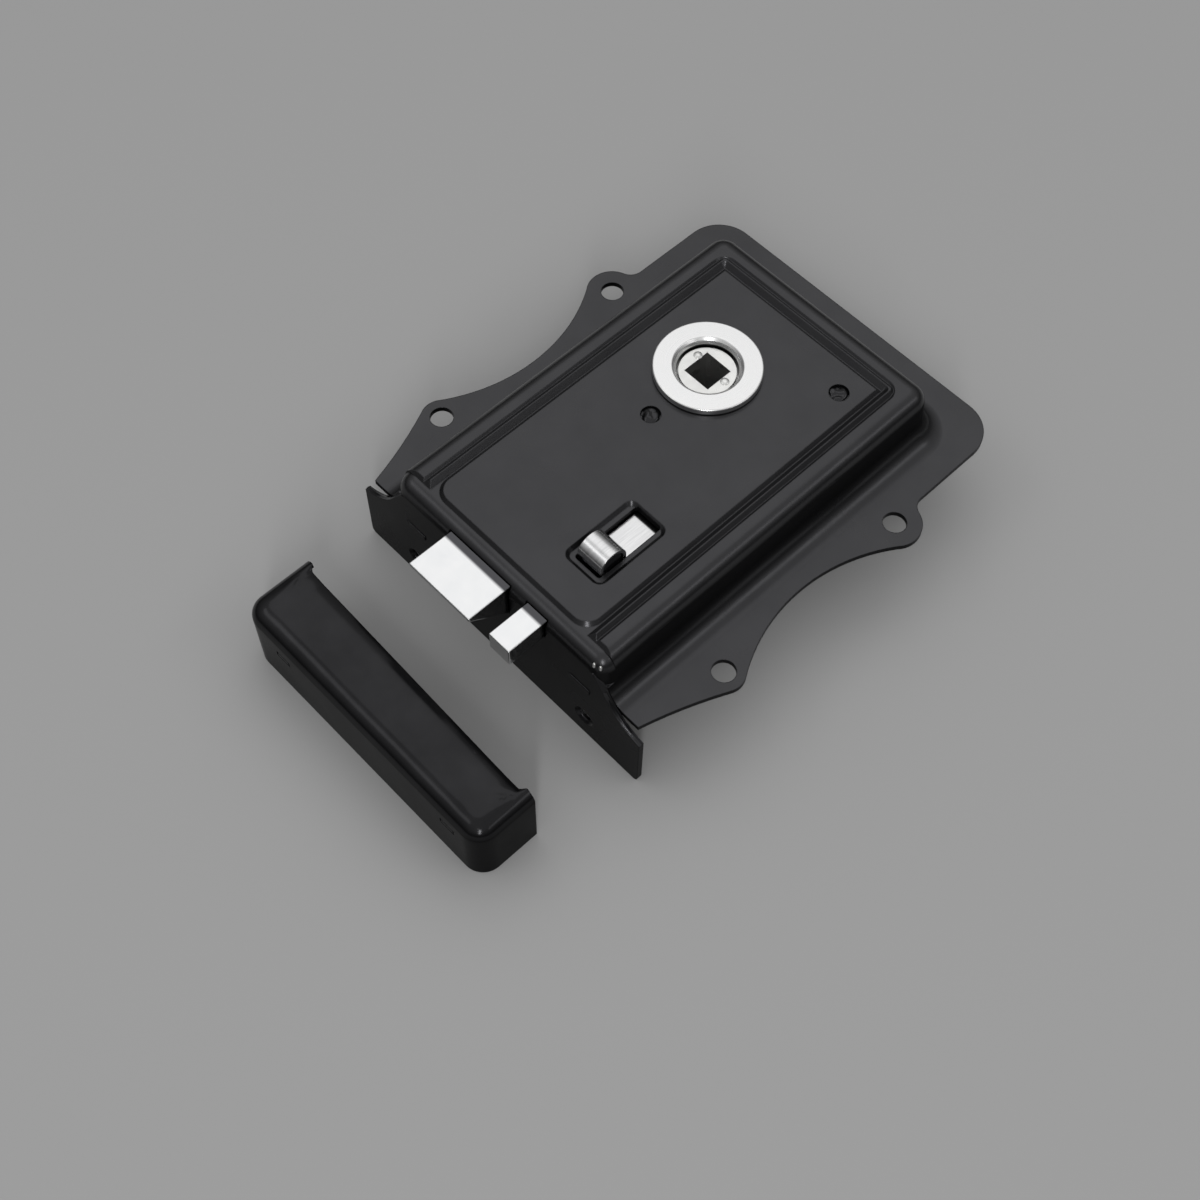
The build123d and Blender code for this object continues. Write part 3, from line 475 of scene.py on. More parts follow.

# %% [markdown]
# ### Painted shade and reflection
#
# Bright metal gets a darker colour below a line on one of its own axes. It is painted
# reflection of the black fore-end on the bolts where they come out of the case, painted
# shadow of the slot's edge on the snib's strip at the end of its slot, and painted shade
# down in the bore of the rose. It could be painted on by hand in a vertex colour. A step
# along one object coordinate is exact, and it slides with the piece.

# %% Paint shade and reflection on bright metal
PAINTED_SHADE_BLACK = (0.03, 0.03, 0.03)
PAINTED_REFLECTION_GREY = (0.07, 0.07, 0.075)
FORE_END_LINE = (57.2 * MM, 57.9 * MM)
SLOT_LINE = (20.9 * MM, 21.3 * MM)
BORE_LINE = (17.3 * MM, 17.5 * MM)

# Painted reflection of the black fore-end on the bolts, a darker colour near the case.
bright_zinc.paint_dark_below(PAINTED_REFLECTION_GREY, "X", FORE_END_LINE)
# Painted shadow of the slot's edge on the snib's strip, and painted shade in the rose's bore.
brushed_chrome.paint_dark_below(PAINTED_SHADE_BLACK, "X", SLOT_LINE)
polished_chrome.paint_dark_below(PAINTED_SHADE_BLACK, "Z", BORE_LINE)
print("painted shade and reflection on", bright_zinc.name, brushed_chrome.name, polished_chrome.name)

# %% [markdown]
# ## Dress the solids
#
# Each solid takes the finish of its slot in the record. A finish could be given face by
# face, but each of these pieces is of one metal or one paint, so the whole piece takes
# it, and the meshes stay as they are.

# %% Give each solid its finish
METALS = (bright_zinc, brushed_chrome, polished_chrome, plated_steel, spring_steel)
FINISHES = {finish.name: finish for finish in ENAMELS + METALS}
for part in frame["record"]["subparts"]:
    if part.get("node") in nodes:
        materials = nodes[part["node"]].data.materials
        finish = FINISHES[part["material_slot"]].material
        if not materials:
            materials.append(finish)
        for i in range(len(materials)):
            materials[i] = finish
        print(part["node"], "takes", part["material_slot"])

# %% [markdown]
# ## Pieces that the scene makes itself
#
# A few surfaces of the real lock are softer or finer than an exact solid can be drawn
# in a few faces. Each of them gets a mesh here, which rides on the same body and stands
# for its solid. Outlines do most of the work: one that rounds its own corners, one that
# is turned about an axis, as the rose was on a lathe, and one that is drawn out along y,
# as a bar is. Curve objects could do that too. Plain points are used here, because then
# every size is a number in the script.

# %% Round the corners of an outline
ARC_STEPS = 6


def rounded(corners, closed=True):
    """Outline in millimetres; a corner is (u, v, radius), and a radius turns it to an arc."""
    points = []
    for i, (u, v, radius) in enumerate(corners):
        corner = Vector((u, v))
        if radius == 0 or (not closed and i in (0, len(corners) - 1)):
            points.append(corner)
            continue
        back = (Vector(corners[i - 1][:2]) - corner).normalized()
        ahead = (Vector(corners[(i + 1) % len(corners)][:2]) - corner).normalized()
        half = back.angle(ahead) / 2
        centre = corner + (back + ahead).normalized() * radius / sin(half)
        start = corner + back * radius / tan(half) - centre
        turn = (pi - 2 * half) * (1 if back.x * ahead.y < back.y * ahead.x else -1)
        for k in range(ARC_STEPS + 1):
            points.append(centre + Matrix.Rotation(turn * k / ARC_STEPS, 2) @ start)
    return points


print("steps in each arc:", ARC_STEPS)

# %% [markdown]
# From outlines to closed meshes: every form below is a row of rings of points, and the
# faces between two rings are the same rule each time. Faces that point the wrong way are
# turned when the piece is added, and the shading is split where faces meet at more than
# 32 degrees, so that a turned face is smooth and its rim is crisp.

# %% Helpers for forms and pieces
SMOOTH_BELOW = radians(32.0)
BEVEL_SEGMENTS = 3


def join_rings(form, one, other):
    """Faces all round between two rings of as many points."""
    for k in range(len(one)):
        following = (k + 1) % len(one)
        form.faces.new((one[k], one[following], other[following], other[k]))


def circle(centre, radius, steps):
    """Points of a circle in a plane."""
    angles = [2 * pi * k / steps for k in range(steps)]
    return [centre + radius * Vector((cos(angle), sin(angle))) for angle in angles]


def turned(outline, centre, steps):
    """Closed mesh in metres: an outline of radius and height, turned about an upright axis."""
    form = bmesh.new()
    rings = [
        [
            form.verts.new((place.x, place.y, height * MM))
            for place in circle(centre.to_2d(), radius * MM, steps)
        ]
        for radius, height in outline
    ]
    for lower, upper in zip(rings, rings[1:] + rings[:1]):
        join_rings(form, lower, upper)
    return form


def strip_form(outline, low, high):
    """Closed mesh in metres: an outline of x and z, drawn out along y."""
    form = bmesh.new()
    sides = [[form.verts.new((u * MM, y * MM, v * MM)) for u, v in outline] for y in (low, high)]
    join_rings(form, *sides)
    form.faces.new(sides[0])
    form.faces.new(list(reversed(sides[1])))
    return form


def add_piece(name, form, slot, body, *stands_for, edge=0.0):
    """Put a mesh in the scene on its body, in its finish, for the solids that it replaces."""
    if isinstance(form, bmesh.types.BMesh):
        bmesh.ops.recalc_face_normals(form, faces=form.faces)
        mesh = bpy.data.meshes.new(name)
        form.to_mesh(mesh)
        form.free()
    else:
        mesh = form
        mesh.name = name
    mesh.materials.clear()
    mesh.materials.append(FINISHES[slot].material)
    piece = bpy.data.objects.new(name, mesh)
    bpy.context.scene.collection.objects.link(piece)
    mesh.shade_smooth()
    mesh.set_sharp_from_angle(angle=SMOOTH_BELOW)
    if edge:
        bevel = piece.modifiers.new("broken_edges", "BEVEL")
        bevel.width = edge * MM
        bevel.segments = BEVEL_SEGMENTS
        bevel.limit_method = "ANGLE"
        bevel.angle_limit = SMOOTH_BELOW
        bevel.harden_normals = True
    even = piece.modifiers.new("even_shading", "WEIGHTED_NORMAL")
    even.keep_sharp = True
    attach(piece, body)
    if stands_for:
        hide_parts(*stands_for)
    print(name, "has", len(mesh.polygons), "faces and rides on", body)
    return piece


print("edges stay crisp above", round(SMOOTH_BELOW, 3), "radians")

# %% [markdown]
# ### The rose
#
# The rose is a turned collar: a flat bright face, a rim that the light runs round, and a
# dished bore that leads the spindle in. Its cross-section says it all, so one outline is
# drawn and turned, rather than a cylinder cut by others. The arcs in it give the thin
# bright line at the rim. The bore is a little wider than the follower's face, and painted
# shade in it makes the dark ring round that face.

# %% Turn the rose
ROSE_STEPS = 160
ROSE_SECTION = [
    (7.75, 14.9, 0.0),
    (10.3, 14.9, 0.1),
    (10.3, 15.5, 0.0),
    (9.5, 15.5, 0.0),
    (9.5, 17.0, 0.0),
    (13.9, 17.0, 0.15),
    (13.9, 19.0, 0.5),
    (8.95, 19.0, 0.5),
    (8.2, 18.3, 0.5),
    (7.75, 17.2, 0.3),
]
add_piece(
    "rose_flange",
    turned(rounded(ROSE_SECTION), SPINDLE, ROSE_STEPS),
    "polished_chrome",
    "case",
    "rose",
)

# %% [markdown]
# ### The bolts
#
# Latch and privacy bolt are milled bars. On the real ones every edge is just broken with
# a file, and that narrow facet is what catches the light. The facets could be drawn in
# the outline, but then the ends would stay sharp. A Bevel modifier breaks all edges
# alike, and it keeps the wide faces flat.

# %% Mill the two bolts
LATCH_SIDES = (-16.2, 4.8)
LATCH_SECTION = [(38.0, 3.3), (57.0, 3.3), (68.5, 13.0), (68.5, 14.2), (38.0, 14.2)]
BOLT_SIDES = (10.5, 17.3)
BOLT_SECTION = [
    (10.0, 8.0),
    (67.5, 8.0),
    (67.5, 14.2),
    (32.4, 14.2),
    (32.4, 13.2),
    (10.0, 13.2),
]
add_piece(
    "latch_bar",
    strip_form(LATCH_SECTION, *LATCH_SIDES),
    "bright_zinc",
    "latch",
    "latch_head",
    edge=0.3,
)
add_piece(
    "privacy_bar",
    strip_form(BOLT_SECTION, *BOLT_SIDES),
    "bright_zinc",
    "privacy",
    "privacy_bolt",
    edge=0.25,
)

# %% [markdown]
# ### The snib
#
# The snib is a steel strip that is riveted on the privacy bolt, comes up through the slot
# and is rolled to make a thumb piece. The strip has one thickness all the way,
# so only its middle line is drawn. Each point of it is then moved by half the thickness
# to one side and to the other, which gives the outline that is drawn out along y. The
# roll tightens towards its end, so that the strip closes round the black rod of painted shade in
# it.

# %% Roll the snib
SNIB_SHEET = 1.0
SNIB_SIDES = (10.0, 17.8)
SNIB_EYE = Vector((35.3, 16.6))
SNIB_EYE_R = 3.9
SNIB_BEND_R = 1.0
SNIB_STRIP_Z = 13.7
SNIB_START_X = 11.0
ROLL_START = 180.0
ROLL_END = -88.0
ROLL_STEPS = 40
ROLL_TIGHTENS_AT = 0.55
ROLL_SHRINK = 0.42


def snib_middle():
    """Middle line of the snib: along the bolt, up through the slot and round the rod."""
    rise_x = SNIB_EYE.x - SNIB_EYE_R
    line = rounded(
        [
            (SNIB_START_X, SNIB_STRIP_Z, 0.0),
            (rise_x, SNIB_STRIP_Z, SNIB_BEND_R),
            (rise_x, SNIB_EYE.y, 0.0),
        ],
        closed=False,
    )
    for k in range(1, ROLL_STEPS + 1):
        share = k / ROLL_STEPS
        angle = radians(ROLL_START + (ROLL_END - ROLL_START) * share)
        tight = max(0.0, share - ROLL_TIGHTENS_AT) / (1 - ROLL_TIGHTENS_AT)
        radius = SNIB_EYE_R * (1 - ROLL_SHRINK * tight)
        line.append(SNIB_EYE + radius * Vector((cos(angle), sin(angle))))
    return line


def thickened(line, thickness):
    """Outline of a strip of one thickness about its middle line."""
    left, right = [], []
    for i, point in enumerate(line):
        along = (line[min(i + 1, len(line) - 1)] - line[max(i - 1, 0)]).normalized()
        across = Vector((-along.y, along.x)) * thickness / 2
        left.append(point + across)
        right.append(point - across)
    return left + right[::-1]


add_piece(
    "snib_curl",
    strip_form(thickened(snib_middle(), SNIB_SHEET), *SNIB_SIDES),
    "brushed_chrome",
    "privacy",
    "snib_slide",
    edge=0.18,
)

# %% [markdown]
# The hollow inside the roll lies in shade, and a black rod stands for it: painted shade,
# a dark disc inside the bright edge of the strip. It is a little shorter than the strip is
# wide, and its broken edge keeps it from looking like a hole.

# %% Put the black rod of painted shade in the roll
ROD_R = 3.0
ROD_EYE = Vector((35.3, 17.3))
ROD_SIDES = (10.15, 17.65)
ROD_STEPS = 48
shade_rod_outline = circle(ROD_EYE, ROD_R, ROD_STEPS)
# A black rod of painted shade fills the hollow of the roll.
add_piece(
    "snib_shade_rod", strip_form(shade_rod_outline, *ROD_SIDES), "pillar_black", "privacy", edge=0.25
)

# %% [markdown]
# ### Rims of the fore-end's wings
#
# The wings of the fore-end end in a cut edge on which the enamel has gathered to a round,
# glossy rim. A Bevel would round the whole pressing alike. Here a ring of points is
# carried along the edge and turned with it, so only the edge gets its rim. The edge is an
# arc through three places that were measured on the solid.

# %% Run a rim along both wings
RIM_R = 0.72
RIM_X = 55.75
RIM_INSET = 0.55
RIM_STEPS = 14
WING_ARC = ((49.0, -3.0), (42.2, 0.2), (36.9, 6.5))
WING_STEPS = 28
ACROSS = Vector((1.0, 0.0, 0.0))


def arc_through(first, middle, last):
    """Centre of the circle through three points, and its points from first to last."""
    (ax, ay), (bx, by), (cx, cy) = first, middle, last
    twice = 2 * (ax * (by - cy) + bx * (cy - ay) + cx * (ay - by))
    a, b, c = [u * u + v * v for u, v in (first, middle, last)]
    centre = Vector(
        (
            (a * (by - cy) + b * (cy - ay) + c * (ay - by)) / twice,
            (a * (cx - bx) + b * (ax - cx) + c * (bx - ax)) / twice,
        )
    )
    spoke = Vector(first) - centre
    sweep = -spoke.angle_signed(Vector(last) - centre)
    turns = [Matrix.Rotation(sweep * k / WING_STEPS, 2) for k in range(WING_STEPS + 1)]
    return centre, [centre + turn @ spoke for turn in turns]


def tube(path, radius):
    """Closed tube in metres along a path of points in millimetres, in a plane across x."""
    form = bmesh.new()
    loops = []
    for i, point in enumerate(path):
        along = (path[min(i + 1, len(path) - 1)] - path[max(i - 1, 0)]).normalized()
        out = along.cross(ACROSS)
        ring = [
            point + u * ACROSS + v * out for u, v in circle(Vector((0, 0)), radius, RIM_STEPS)
        ]
        loops.append([form.verts.new(place * MM) for place in ring])
    for one, other in zip(loops, loops[1:]):
        join_rings(form, one, other)
    form.faces.new(loops[0])
    form.faces.new(loops[-1][::-1])
    return form


arc_centre, wing_arc = arc_through(*WING_ARC)
for name, side in (("wing_rim_left", -1), ("wing_rim_right", 1)):
    rim = []
    for point in wing_arc:
        y, z = point + (point - arc_centre).normalized() * RIM_INSET
        rim.append(Vector((RIM_X, side * y, z)))
    add_piece(name, tube(rim, RIM_R), "pillar_black", "case")

# %% [markdown]
# ### The keep
#
# The keep is pressed from one sheet, and it shows: its top sags a little between soft
# shoulders, the lip towards the lock is pulled down, and the sheet has gathered in creases
# at both ends of the lip. Drawing that by hand would take a sculptor. Here a plain box of
# grid lines is pressed by a function: it rounds the corners, then lowers every place by a
# few amounts that depend on where it lies.

# %% Creases at the ends of the lip
CREASES = {1: 0.50, -1: 0.26}
CREASE_CORNER = Vector((84.4, 40.4))
CREASE_ROOT = 1.2
CREASE_FADE = 6.5
CREASE_WAVES = 13.0
FAN_START = -0.15
FAN_START_SOFT = 0.15
FAN_END = 1.25
FAN_END_SOFT = 0.4


def ease(share):
    """Smooth step from 0 to 1."""
    share = max(0.0, min(1.0, share))
    return share * share * (3 - 2 * share)


def crease_depth(x, y):
    """Depth of the fans of creases that start at the two ends of the lip."""
    depth = 0.0
    for side, height in CREASES.items():
        gap = Vector((x - CREASE_CORNER.x, side * y - CREASE_CORNER.y))
        turn = atan2(-gap.y, gap.x)
        fan = ease((turn - FAN_START) / FAN_START_SOFT) * ease((FAN_END - turn) / FAN_END_SOFT)
        root = ease(gap.length / CREASE_ROOT)
        wave = (1 + cos(CREASE_WAVES * turn)) / 2
        depth += height * fan * root * exp(-gap.length / CREASE_FADE) * wave
    return depth


print("deepest crease:", max(CREASES.values()), "mm")

# %% [markdown]
# The pressing itself works on one place of the plain box at a time. The place is first
# laid on the rounded box: the nearest point of an inner core, and from there outwards by
# the three radii. What the sheet does beside that is added as a sink, which is whole on
# top and dies away on the upright sides.

# %% Press a place of the box
KEEP_FROM = Vector((83.0, -42.5, -22.0))
KEEP_TO = Vector((100.4, 42.5, 0.0))
KEEP_ROUND = Vector((5.5, 5.5, 4.0))
KEEP_SAG = 0.35
SAG_FROM = 4.0
SAG_OVER = 5.0
LIP_PULL = 1.4
LIP_WIDTH = 5.5
LIP_SKEW = 1.2
LOOSE_WIDTH = 12.0
LOOSE_LEAD = 0.5
EAR_START = 38.0
EAR_LENGTH = 2.4
EAR_REACH = 1.3
WAVE_LENGTH = 13.0
WAVE_HEIGHT = 0.10


def pressed(x, y, z):
    """Place on the outer skin of the keep, for a place on the plain box."""
    flat = KEEP_TO - KEEP_ROUND
    core = Vector((min(x, flat.x), max(-flat.y, min(flat.y, y)), min(z, flat.z)))
    away = Vector([(p - c) / r for p, c, r in zip((x, y, z), core, KEEP_ROUND)])
    away.normalize()
    place = core + Vector([a * r for a, r in zip(away, KEEP_ROUND)])

    inside = min(KEEP_TO.x - place.x, KEEP_TO.y - abs(place.y))
    ear = ease((abs(y) - EAR_START) / EAR_LENGTH)
    lip = max(0.0, 1 - (x - KEEP_FROM.x) / LIP_WIDTH) ** 2 * (1 - ear)
    wave = noise.noise(Vector((x, y, 0.0)) / WAVE_LENGTH)
    sink = KEEP_SAG * ease((inside - SAG_FROM) / SAG_OVER) + LIP_PULL * lip + crease_depth(x, y)
    sink += WAVE_HEIGHT * (1 + wave) / 2
    place.z -= sink * max(0.0, away.z) ** 2

    upper = ease((z - flat.z) / KEEP_ROUND.z + LOOSE_LEAD)
    loose = upper * max(0.0, 1 - (x - KEEP_FROM.x) / LOOSE_WIDTH)
    place.x += loose * (LIP_SKEW * y / KEEP_TO.y - EAR_REACH * ear)
    return place * MM


print("one corner of the keep goes to", [round(v, 4) for v in pressed(*KEEP_TO)])

# %% [markdown]
# Even grid lines would waste faces on the flat middle, or leave too few for the creases.
# So each axis gets its lines in stretches: close together where the sheet bends, wide
# apart elsewhere, and one on every edge of the two slits.

# %% Grid lines of the box
SLITS = ((-30.2, -25.4), (29.2, 34.0))
SLIT_Z = (-8.95, -7.05)


def stations(*stretches):
    """Grid lines along one axis, from stretches of a start, an end and a number of steps."""
    lines = [stretches[0][0]]
    for low, high, steps in stretches:
        lines += [low + (high - low) * k / steps for k in range(1, steps + 1)]
    return lines


lines_x = stations((KEEP_FROM.x, 88.5, 12), (88.5, 94.9, 8), (94.9, KEEP_TO.x, 8))
lines_y = stations(
    (KEEP_FROM.y, -35.5, 12),
    (-35.5, SLITS[0][0], 6),
    (*SLITS[0], 4),
    (SLITS[0][1], SLITS[1][0], 46),
    (*SLITS[1], 4),
    (SLITS[1][1], KEEP_TO.y, 14),
)
lines_z = stations(
    (KEEP_FROM.z, SLIT_Z[0], 5), (*SLIT_Z, 1), (SLIT_Z[1], -4.0, 2), (-4.0, KEEP_TO.z, 8)
)
print("grid lines:", len(lines_x), len(lines_y), len(lines_z))

# %% [markdown]
# The box is open below and towards the lock, so only four sides of it are pressed. The
# slits for the bracket's tabs are left out of the outer side. Last, a second skin is laid
# inside the first, one sheet away, and joined to it round every free edge. A Solidify
# modifier would do the same in one line; a dozen lines of code show what it does.

# %% Press the keep
KEEP_SHEET = 1.5


def box_sides(nx, ny, nz):
    """Corner indices of every cell on the top, the outer side and both ends."""
    patches = [
        (nx, ny, lambda a, b: (a, b, nz)),
        (ny, nz, lambda a, b: (nx, a, b)),
        (nz, nx, lambda a, b: (b, ny, a)),
        (nx, nz, lambda a, b: (a, 0, b)),
    ]
    for first, second, at in patches:
        for a in range(first):
            for b in range(second):
                yield at(a, b), at(a + 1, b), at(a + 1, b + 1), at(a, b + 1)


def in_slit(cell):
    """Whether a cell of the outer side lies in one of the slits."""
    if any(corner[0] < len(lines_x) - 1 for corner in cell):
        return False
    y = sum(lines_y[corner[1]] for corner in cell) / len(cell)
    z = sum(lines_z[corner[2]] for corner in cell) / len(cell)
    return SLIT_Z[0] < z < SLIT_Z[1] and any(low < y < high for low, high in SLITS)


def shelled(form, sheet):
    """Lay a second skin inside an open one and join the two round every free edge."""
    form.normal_update()
    skin = list(form.faces)
    rim = [edge for edge in form.edges if edge.is_boundary]
    inner = {vert: form.verts.new(vert.co - vert.normal * sheet) for vert in list(form.verts)}
    for face in skin:
        form.faces.new([inner[vert] for vert in reversed(face.verts)])
    for edge in rim:
        one, other = edge.verts
        form.faces.new((one, other, inner[other], inner[one]))
    return form


keep_skin = bmesh.new()
skin_verts = {}
for cell in box_sides(len(lines_x) - 1, len(lines_y) - 1, len(lines_z) - 1):
    if in_slit(cell):
        continue
    for corner in cell:
        if corner not in skin_verts:
            i, j, k = corner
            skin_verts[corner] = keep_skin.verts.new(pressed(lines_x[i], lines_y[j], lines_z[k]))
    keep_skin.faces.new([skin_verts[corner] for corner in cell])
add_piece("keep_press", shelled(keep_skin, KEEP_SHEET * MM), "keep_enamel", "keep", "keep_box")

# %% [markdown]
# ## Small shapes by rule
#
# Hammered ends, punch marks and a wound spring follow rules, so Geometry Nodes make
# them. Each tree has named inputs for its sizes. It is run once with a modifier, and the
# result is kept as a plain mesh, because instances and live modifiers don't travel well
# to other programs.

# %% Helpers for the node trees


def new_tree(name, places, **sizes):
    """Geometry Nodes tree with named sizes as inputs, and its start and end nodes."""
    tree = bpy.data.node_groups.new(name, "GeometryNodeTree")
    if places:
        tree.interface.new_socket("Places", in_out="INPUT", socket_type="NodeSocketGeometry")
    for label, value in sizes.items():
        kind = "NodeSocketInt" if isinstance(value, int) else "NodeSocketFloat"
        socket = tree.interface.new_socket(label, in_out="INPUT", socket_type=kind)
        socket.default_value = value
    tree.interface.new_socket("Geometry", in_out="OUTPUT", socket_type="NodeSocketGeometry")
    return tree, tree.nodes.new("NodeGroupInput"), tree.nodes.new("NodeGroupOutput")


def calc(tree, operation, *terms):
    """Math node on values or outputs, and its result."""
    node = new_node(tree, "ShaderNodeMath", {"operation": operation})
    for term, socket in zip(terms, node.inputs):
        if isinstance(term, bpy.types.NodeSocket):
            tree.links.new(term, socket)
        else:
            socket.default_value = term
    return node.outputs["Value"]


def close_tree(tree, geometry, end, slot):
    """Last nodes of a tree: real instances and the finish."""
    real = new_node(tree, "GeometryNodeRealizeInstances", Geometry=geometry)
    finished = new_node(
        tree,
        "GeometryNodeSetMaterial",
        Geometry=real.outputs["Geometry"],
        Material=FINISHES[slot].material,
    )
    fill(end, Geometry=finished.outputs["Geometry"])
    print("tree", tree.name, "has", len(tree.nodes), "nodes")


def grown(name, tree, places=(), **sizes):
    """Run a tree once on a few places and return what it made as a plain mesh."""
    seed_mesh = bpy.data.meshes.new(name + "_places")
    seed_mesh.from_pydata([tuple(v * MM for v in place) for place in places], [], [])
    holder = bpy.data.objects.new(name + "_holder", seed_mesh)
    bpy.context.scene.collection.objects.link(holder)
    modifier = holder.modifiers.new("rule", "NODES")
    modifier.node_group = tree
    for item in tree.interface.items_tree:
        if item.in_out == "INPUT" and item.name in sizes:
            modifier[item.identifier] = sizes[item.name]
    ready = holder.evaluated_get(bpy.context.evaluated_depsgraph_get())
    mesh = bpy.data.meshes.new_from_object(ready)
    holder.modifiers.remove(modifier)
    bpy.data.objects.remove(holder)
    return mesh


print("helpers for trees:", new_tree.__name__, calc.__name__, close_tree.__name__, grown.__name__)

# %% [markdown]
# ### Hammered ends and punch marks
#
# The pillars end in the panel as rivets do: the hammer spread them in their holes and
# left a low, uneven dome. The follower has two small marks of the same kind beside its
# square, and the sheet is nicked bright where the corner of the fore-end was folded. Each
# could be sculpted alone. One tree makes them all: a short pin is domed, set on every
# place, and then dented by a noise that differs from place to place.

# %% Dome a pin
DOME_POWER = 2.5

hammer_tree, start, end = new_tree(
    "hammered_ends", places=True, Radius=0.0025, Depth=0.001, Dome=0.0004, Dent=0.0002, Grain=700.0
)
size = start.outputs
pin = new_node(
    hammer_tree,
    "GeometryNodeMeshCylinder",
    {"fill_type": "TRIANGLE_FAN"},
    Vertices=40,
    Side_Segments=2,
    Fill_Segments=9,
    Radius=size["Radius"],
    Depth=size["Depth"],
)
position = new_node(hammer_tree, "GeometryNodeInputPosition").outputs["Position"]
split = new_node(hammer_tree, "ShaderNodeSeparateXYZ", Vector=position).outputs
squares = [calc(hammer_tree, "MULTIPLY", split[axis], split[axis]) for axis in ("X", "Y")]
reach = calc(hammer_tree, "SQRT", calc(hammer_tree, "ADD", *squares))
outward = calc(hammer_tree, "DIVIDE", reach, size["Radius"])
bulge = calc(hammer_tree, "SUBTRACT", 1.0, calc(hammer_tree, "POWER", outward, DOME_POWER))
is_top = calc(hammer_tree, "GREATER_THAN", split["Z"], 0.0)
dome = calc(hammer_tree, "MULTIPLY", bulge, size["Dome"])
lift = calc(hammer_tree, "MULTIPLY", dome, is_top)
upward = new_node(hammer_tree, "ShaderNodeCombineXYZ", Z=lift)
domed = new_node(
    hammer_tree,
    "GeometryNodeSetPosition",
    Geometry=pin.outputs["Mesh"],
    Offset=upward.outputs["Vector"],
)
print("a pin is domed with", len(hammer_tree.nodes), "nodes")

# %% [markdown]
# The pins are made real before they are dented. On instances the noise would be read at
# the same local places, and every end would carry the same blows.

# %% Set the pins and dent them
NOISE_MIDDLE = 0.5

spots = new_node(hammer_tree, "GeometryNodeMeshToPoints", Mesh=size["Places"])
placed = new_node(
    hammer_tree,
    "GeometryNodeInstanceOnPoints",
    Points=spots.outputs["Points"],
    Instance=domed.outputs["Geometry"],
)
pins = new_node(
    hammer_tree, "GeometryNodeRealizeInstances", Geometry=placed.outputs["Instances"]
)
blows = new_node(
    hammer_tree, "ShaderNodeTexNoise", Detail=1.0, Roughness=0.4, Scale=size["Grain"]
)
centred = calc(hammer_tree, "SUBTRACT", blows.outputs["Fac"], NOISE_MIDDLE)
dent = new_node(
    hammer_tree, "ShaderNodeCombineXYZ", Z=calc(hammer_tree, "MULTIPLY", centred, size["Dent"])
)
dented = new_node(
    hammer_tree,
    "GeometryNodeSetPosition",
    Geometry=pins.outputs["Geometry"],
    Offset=dent.outputs["Vector"],
)
close_tree(hammer_tree, dented.outputs["Geometry"], end, "pillar_black")

# %% [markdown]
# Three sets of sizes and places give the three kinds of end: black ones on the pillars,
# two bright nicks at the folded corner, and two punch marks on the follower, which turn
# with it.

# %% Ends of the pillars, nicks and punch marks
PILLAR_PLACES = [(-0.9, -6.6, 15.7), (-39.2, 20.4, 15.7)]
STAKE_PLACES = [(55.75, 33.0, 14.4), (55.15, 34.5, 14.1)]
MARK_RADIUS = 5.3
MARK_ANGLES = (98.0, 251.0)
MARK_Z = 16.6
spindle_mm = SPINDLE / MM
mark_places = [
    (spindle_mm.x + MARK_RADIUS * cos(turn), spindle_mm.y + MARK_RADIUS * sin(turn), MARK_Z)
    for turn in map(radians, MARK_ANGLES)
]

pillar_end = dict(Radius=0.00249, Depth=0.0012, Dome=0.0006, Dent=0.0014, Grain=520.0)
nick = dict(Radius=0.0004, Depth=0.0011, Dome=0.0004, Dent=0.0004, Grain=900.0)
punch = dict(Radius=0.00115, Depth=0.0003, Dome=0.00036, Dent=0.0001, Grain=900.0)
for name, places, sizes, slot, body in (
    ("peened_ends", PILLAR_PLACES, pillar_end, "pillar_black", "case"),
    ("stake_marks", STAKE_PLACES, nick, "plated_steel", "case"),
    ("punch_marks", mark_places, punch, "plated_steel", "spindle_hub"),
):
    add_piece(name, grown(name, hammer_tree, places, **sizes), slot, body)

# %% [markdown]
# ### The latch spring
#
# A compression spring is a helix of round wire whose last turns lie close together, so
# that it stands square on its seats. A Screw modifier winds an even helix only. The rule
# here: the angle grows evenly along the line, and the distance along the axis follows a
# smooth step, flat at both ends. A circle is then run along it. The spring fills the box
# of its solid.

# %% Wind the latch spring
SPRING_AXIS = Vector((-0.0066, 0.0086))
WIRE_R = 0.4 * MM

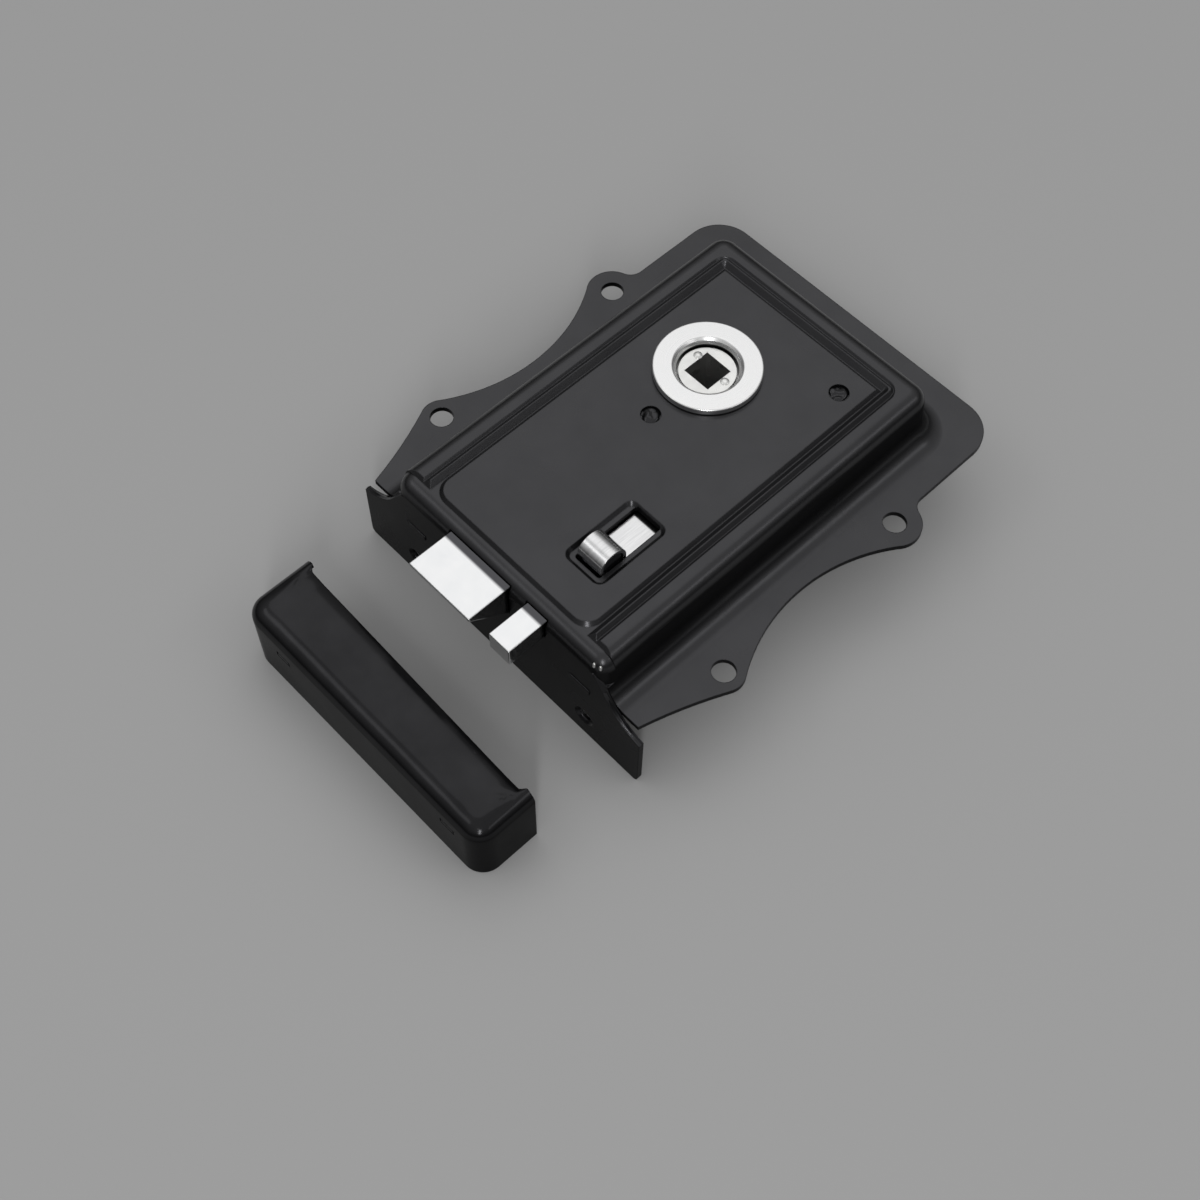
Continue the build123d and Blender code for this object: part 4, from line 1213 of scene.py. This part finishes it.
spring_tree, start, end = new_tree(
    "wound_spring", places=False, Start=0.0, Length=0.018, Radius=0.003, Wire=0.0004, Turns=7.0
)
size = start.outputs
run = new_node(spring_tree, "GeometryNodeCurvePrimitiveLine")
dense = new_node(
    spring_tree, "GeometryNodeResampleCurve", Curve=run.outputs["Curve"], Count=280
)
factor = new_node(spring_tree, "GeometryNodeSplineParameter").outputs["Factor"]
rise = new_node(spring_tree, "ShaderNodeMapRange", SMOOTHLY, Value=factor).outputs["Result"]
reached = calc(spring_tree, "MULTIPLY", rise, size["Length"])
helix = new_node(
    spring_tree, "ShaderNodeCombineXYZ", X=calc(spring_tree, "ADD", reached, size["Start"])
)
whole_turn = calc(spring_tree, "MULTIPLY", size["Turns"], 2 * pi)
angle = calc(spring_tree, "MULTIPLY", factor, whole_turn)
for axis, wave, middle in (("Y", "COSINE", SPRING_AXIS.x), ("Z", "SINE", SPRING_AXIS.y)):
    swing = calc(spring_tree, "MULTIPLY", calc(spring_tree, wave, angle), size["Radius"])
    fill(helix, **{axis: calc(spring_tree, "ADD", swing, middle)})
bent = new_node(
    spring_tree,
    "GeometryNodeSetPosition",
    Geometry=dense.outputs["Curve"],
    Position=helix.outputs["Vector"],
)
wire_round = new_node(
    spring_tree, "GeometryNodeCurvePrimitiveCircle", Resolution=10, Radius=size["Wire"]
)
drawn = new_node(
    spring_tree,
    "GeometryNodeCurveToMesh",
    Curve=bent.outputs["Geometry"],
    Profile_Curve=wire_round.outputs["Curve"],
    Fill_Caps=True,
)
close_tree(spring_tree, drawn.outputs["Mesh"], end, "spring_steel")

# %% [markdown]
# The spring is anchored where it sits on the rod's collar, and it runs the length of the
# box of its solid.

# %% Fit the spring
spring_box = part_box("latch_spring")
spring_span = spring_box[1][0] - spring_box[0][0]
spring_from = spring_box[0][0] + WIRE_R
spring_length = spring_span - 2 * WIRE_R
latch_coil = add_piece(
    "latch_coil",
    grown("latch_coil", spring_tree, Start=spring_from, Length=spring_length, Wire=WIRE_R),
    "spring_steel",
    "case",
    "latch_spring",
)
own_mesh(latch_coil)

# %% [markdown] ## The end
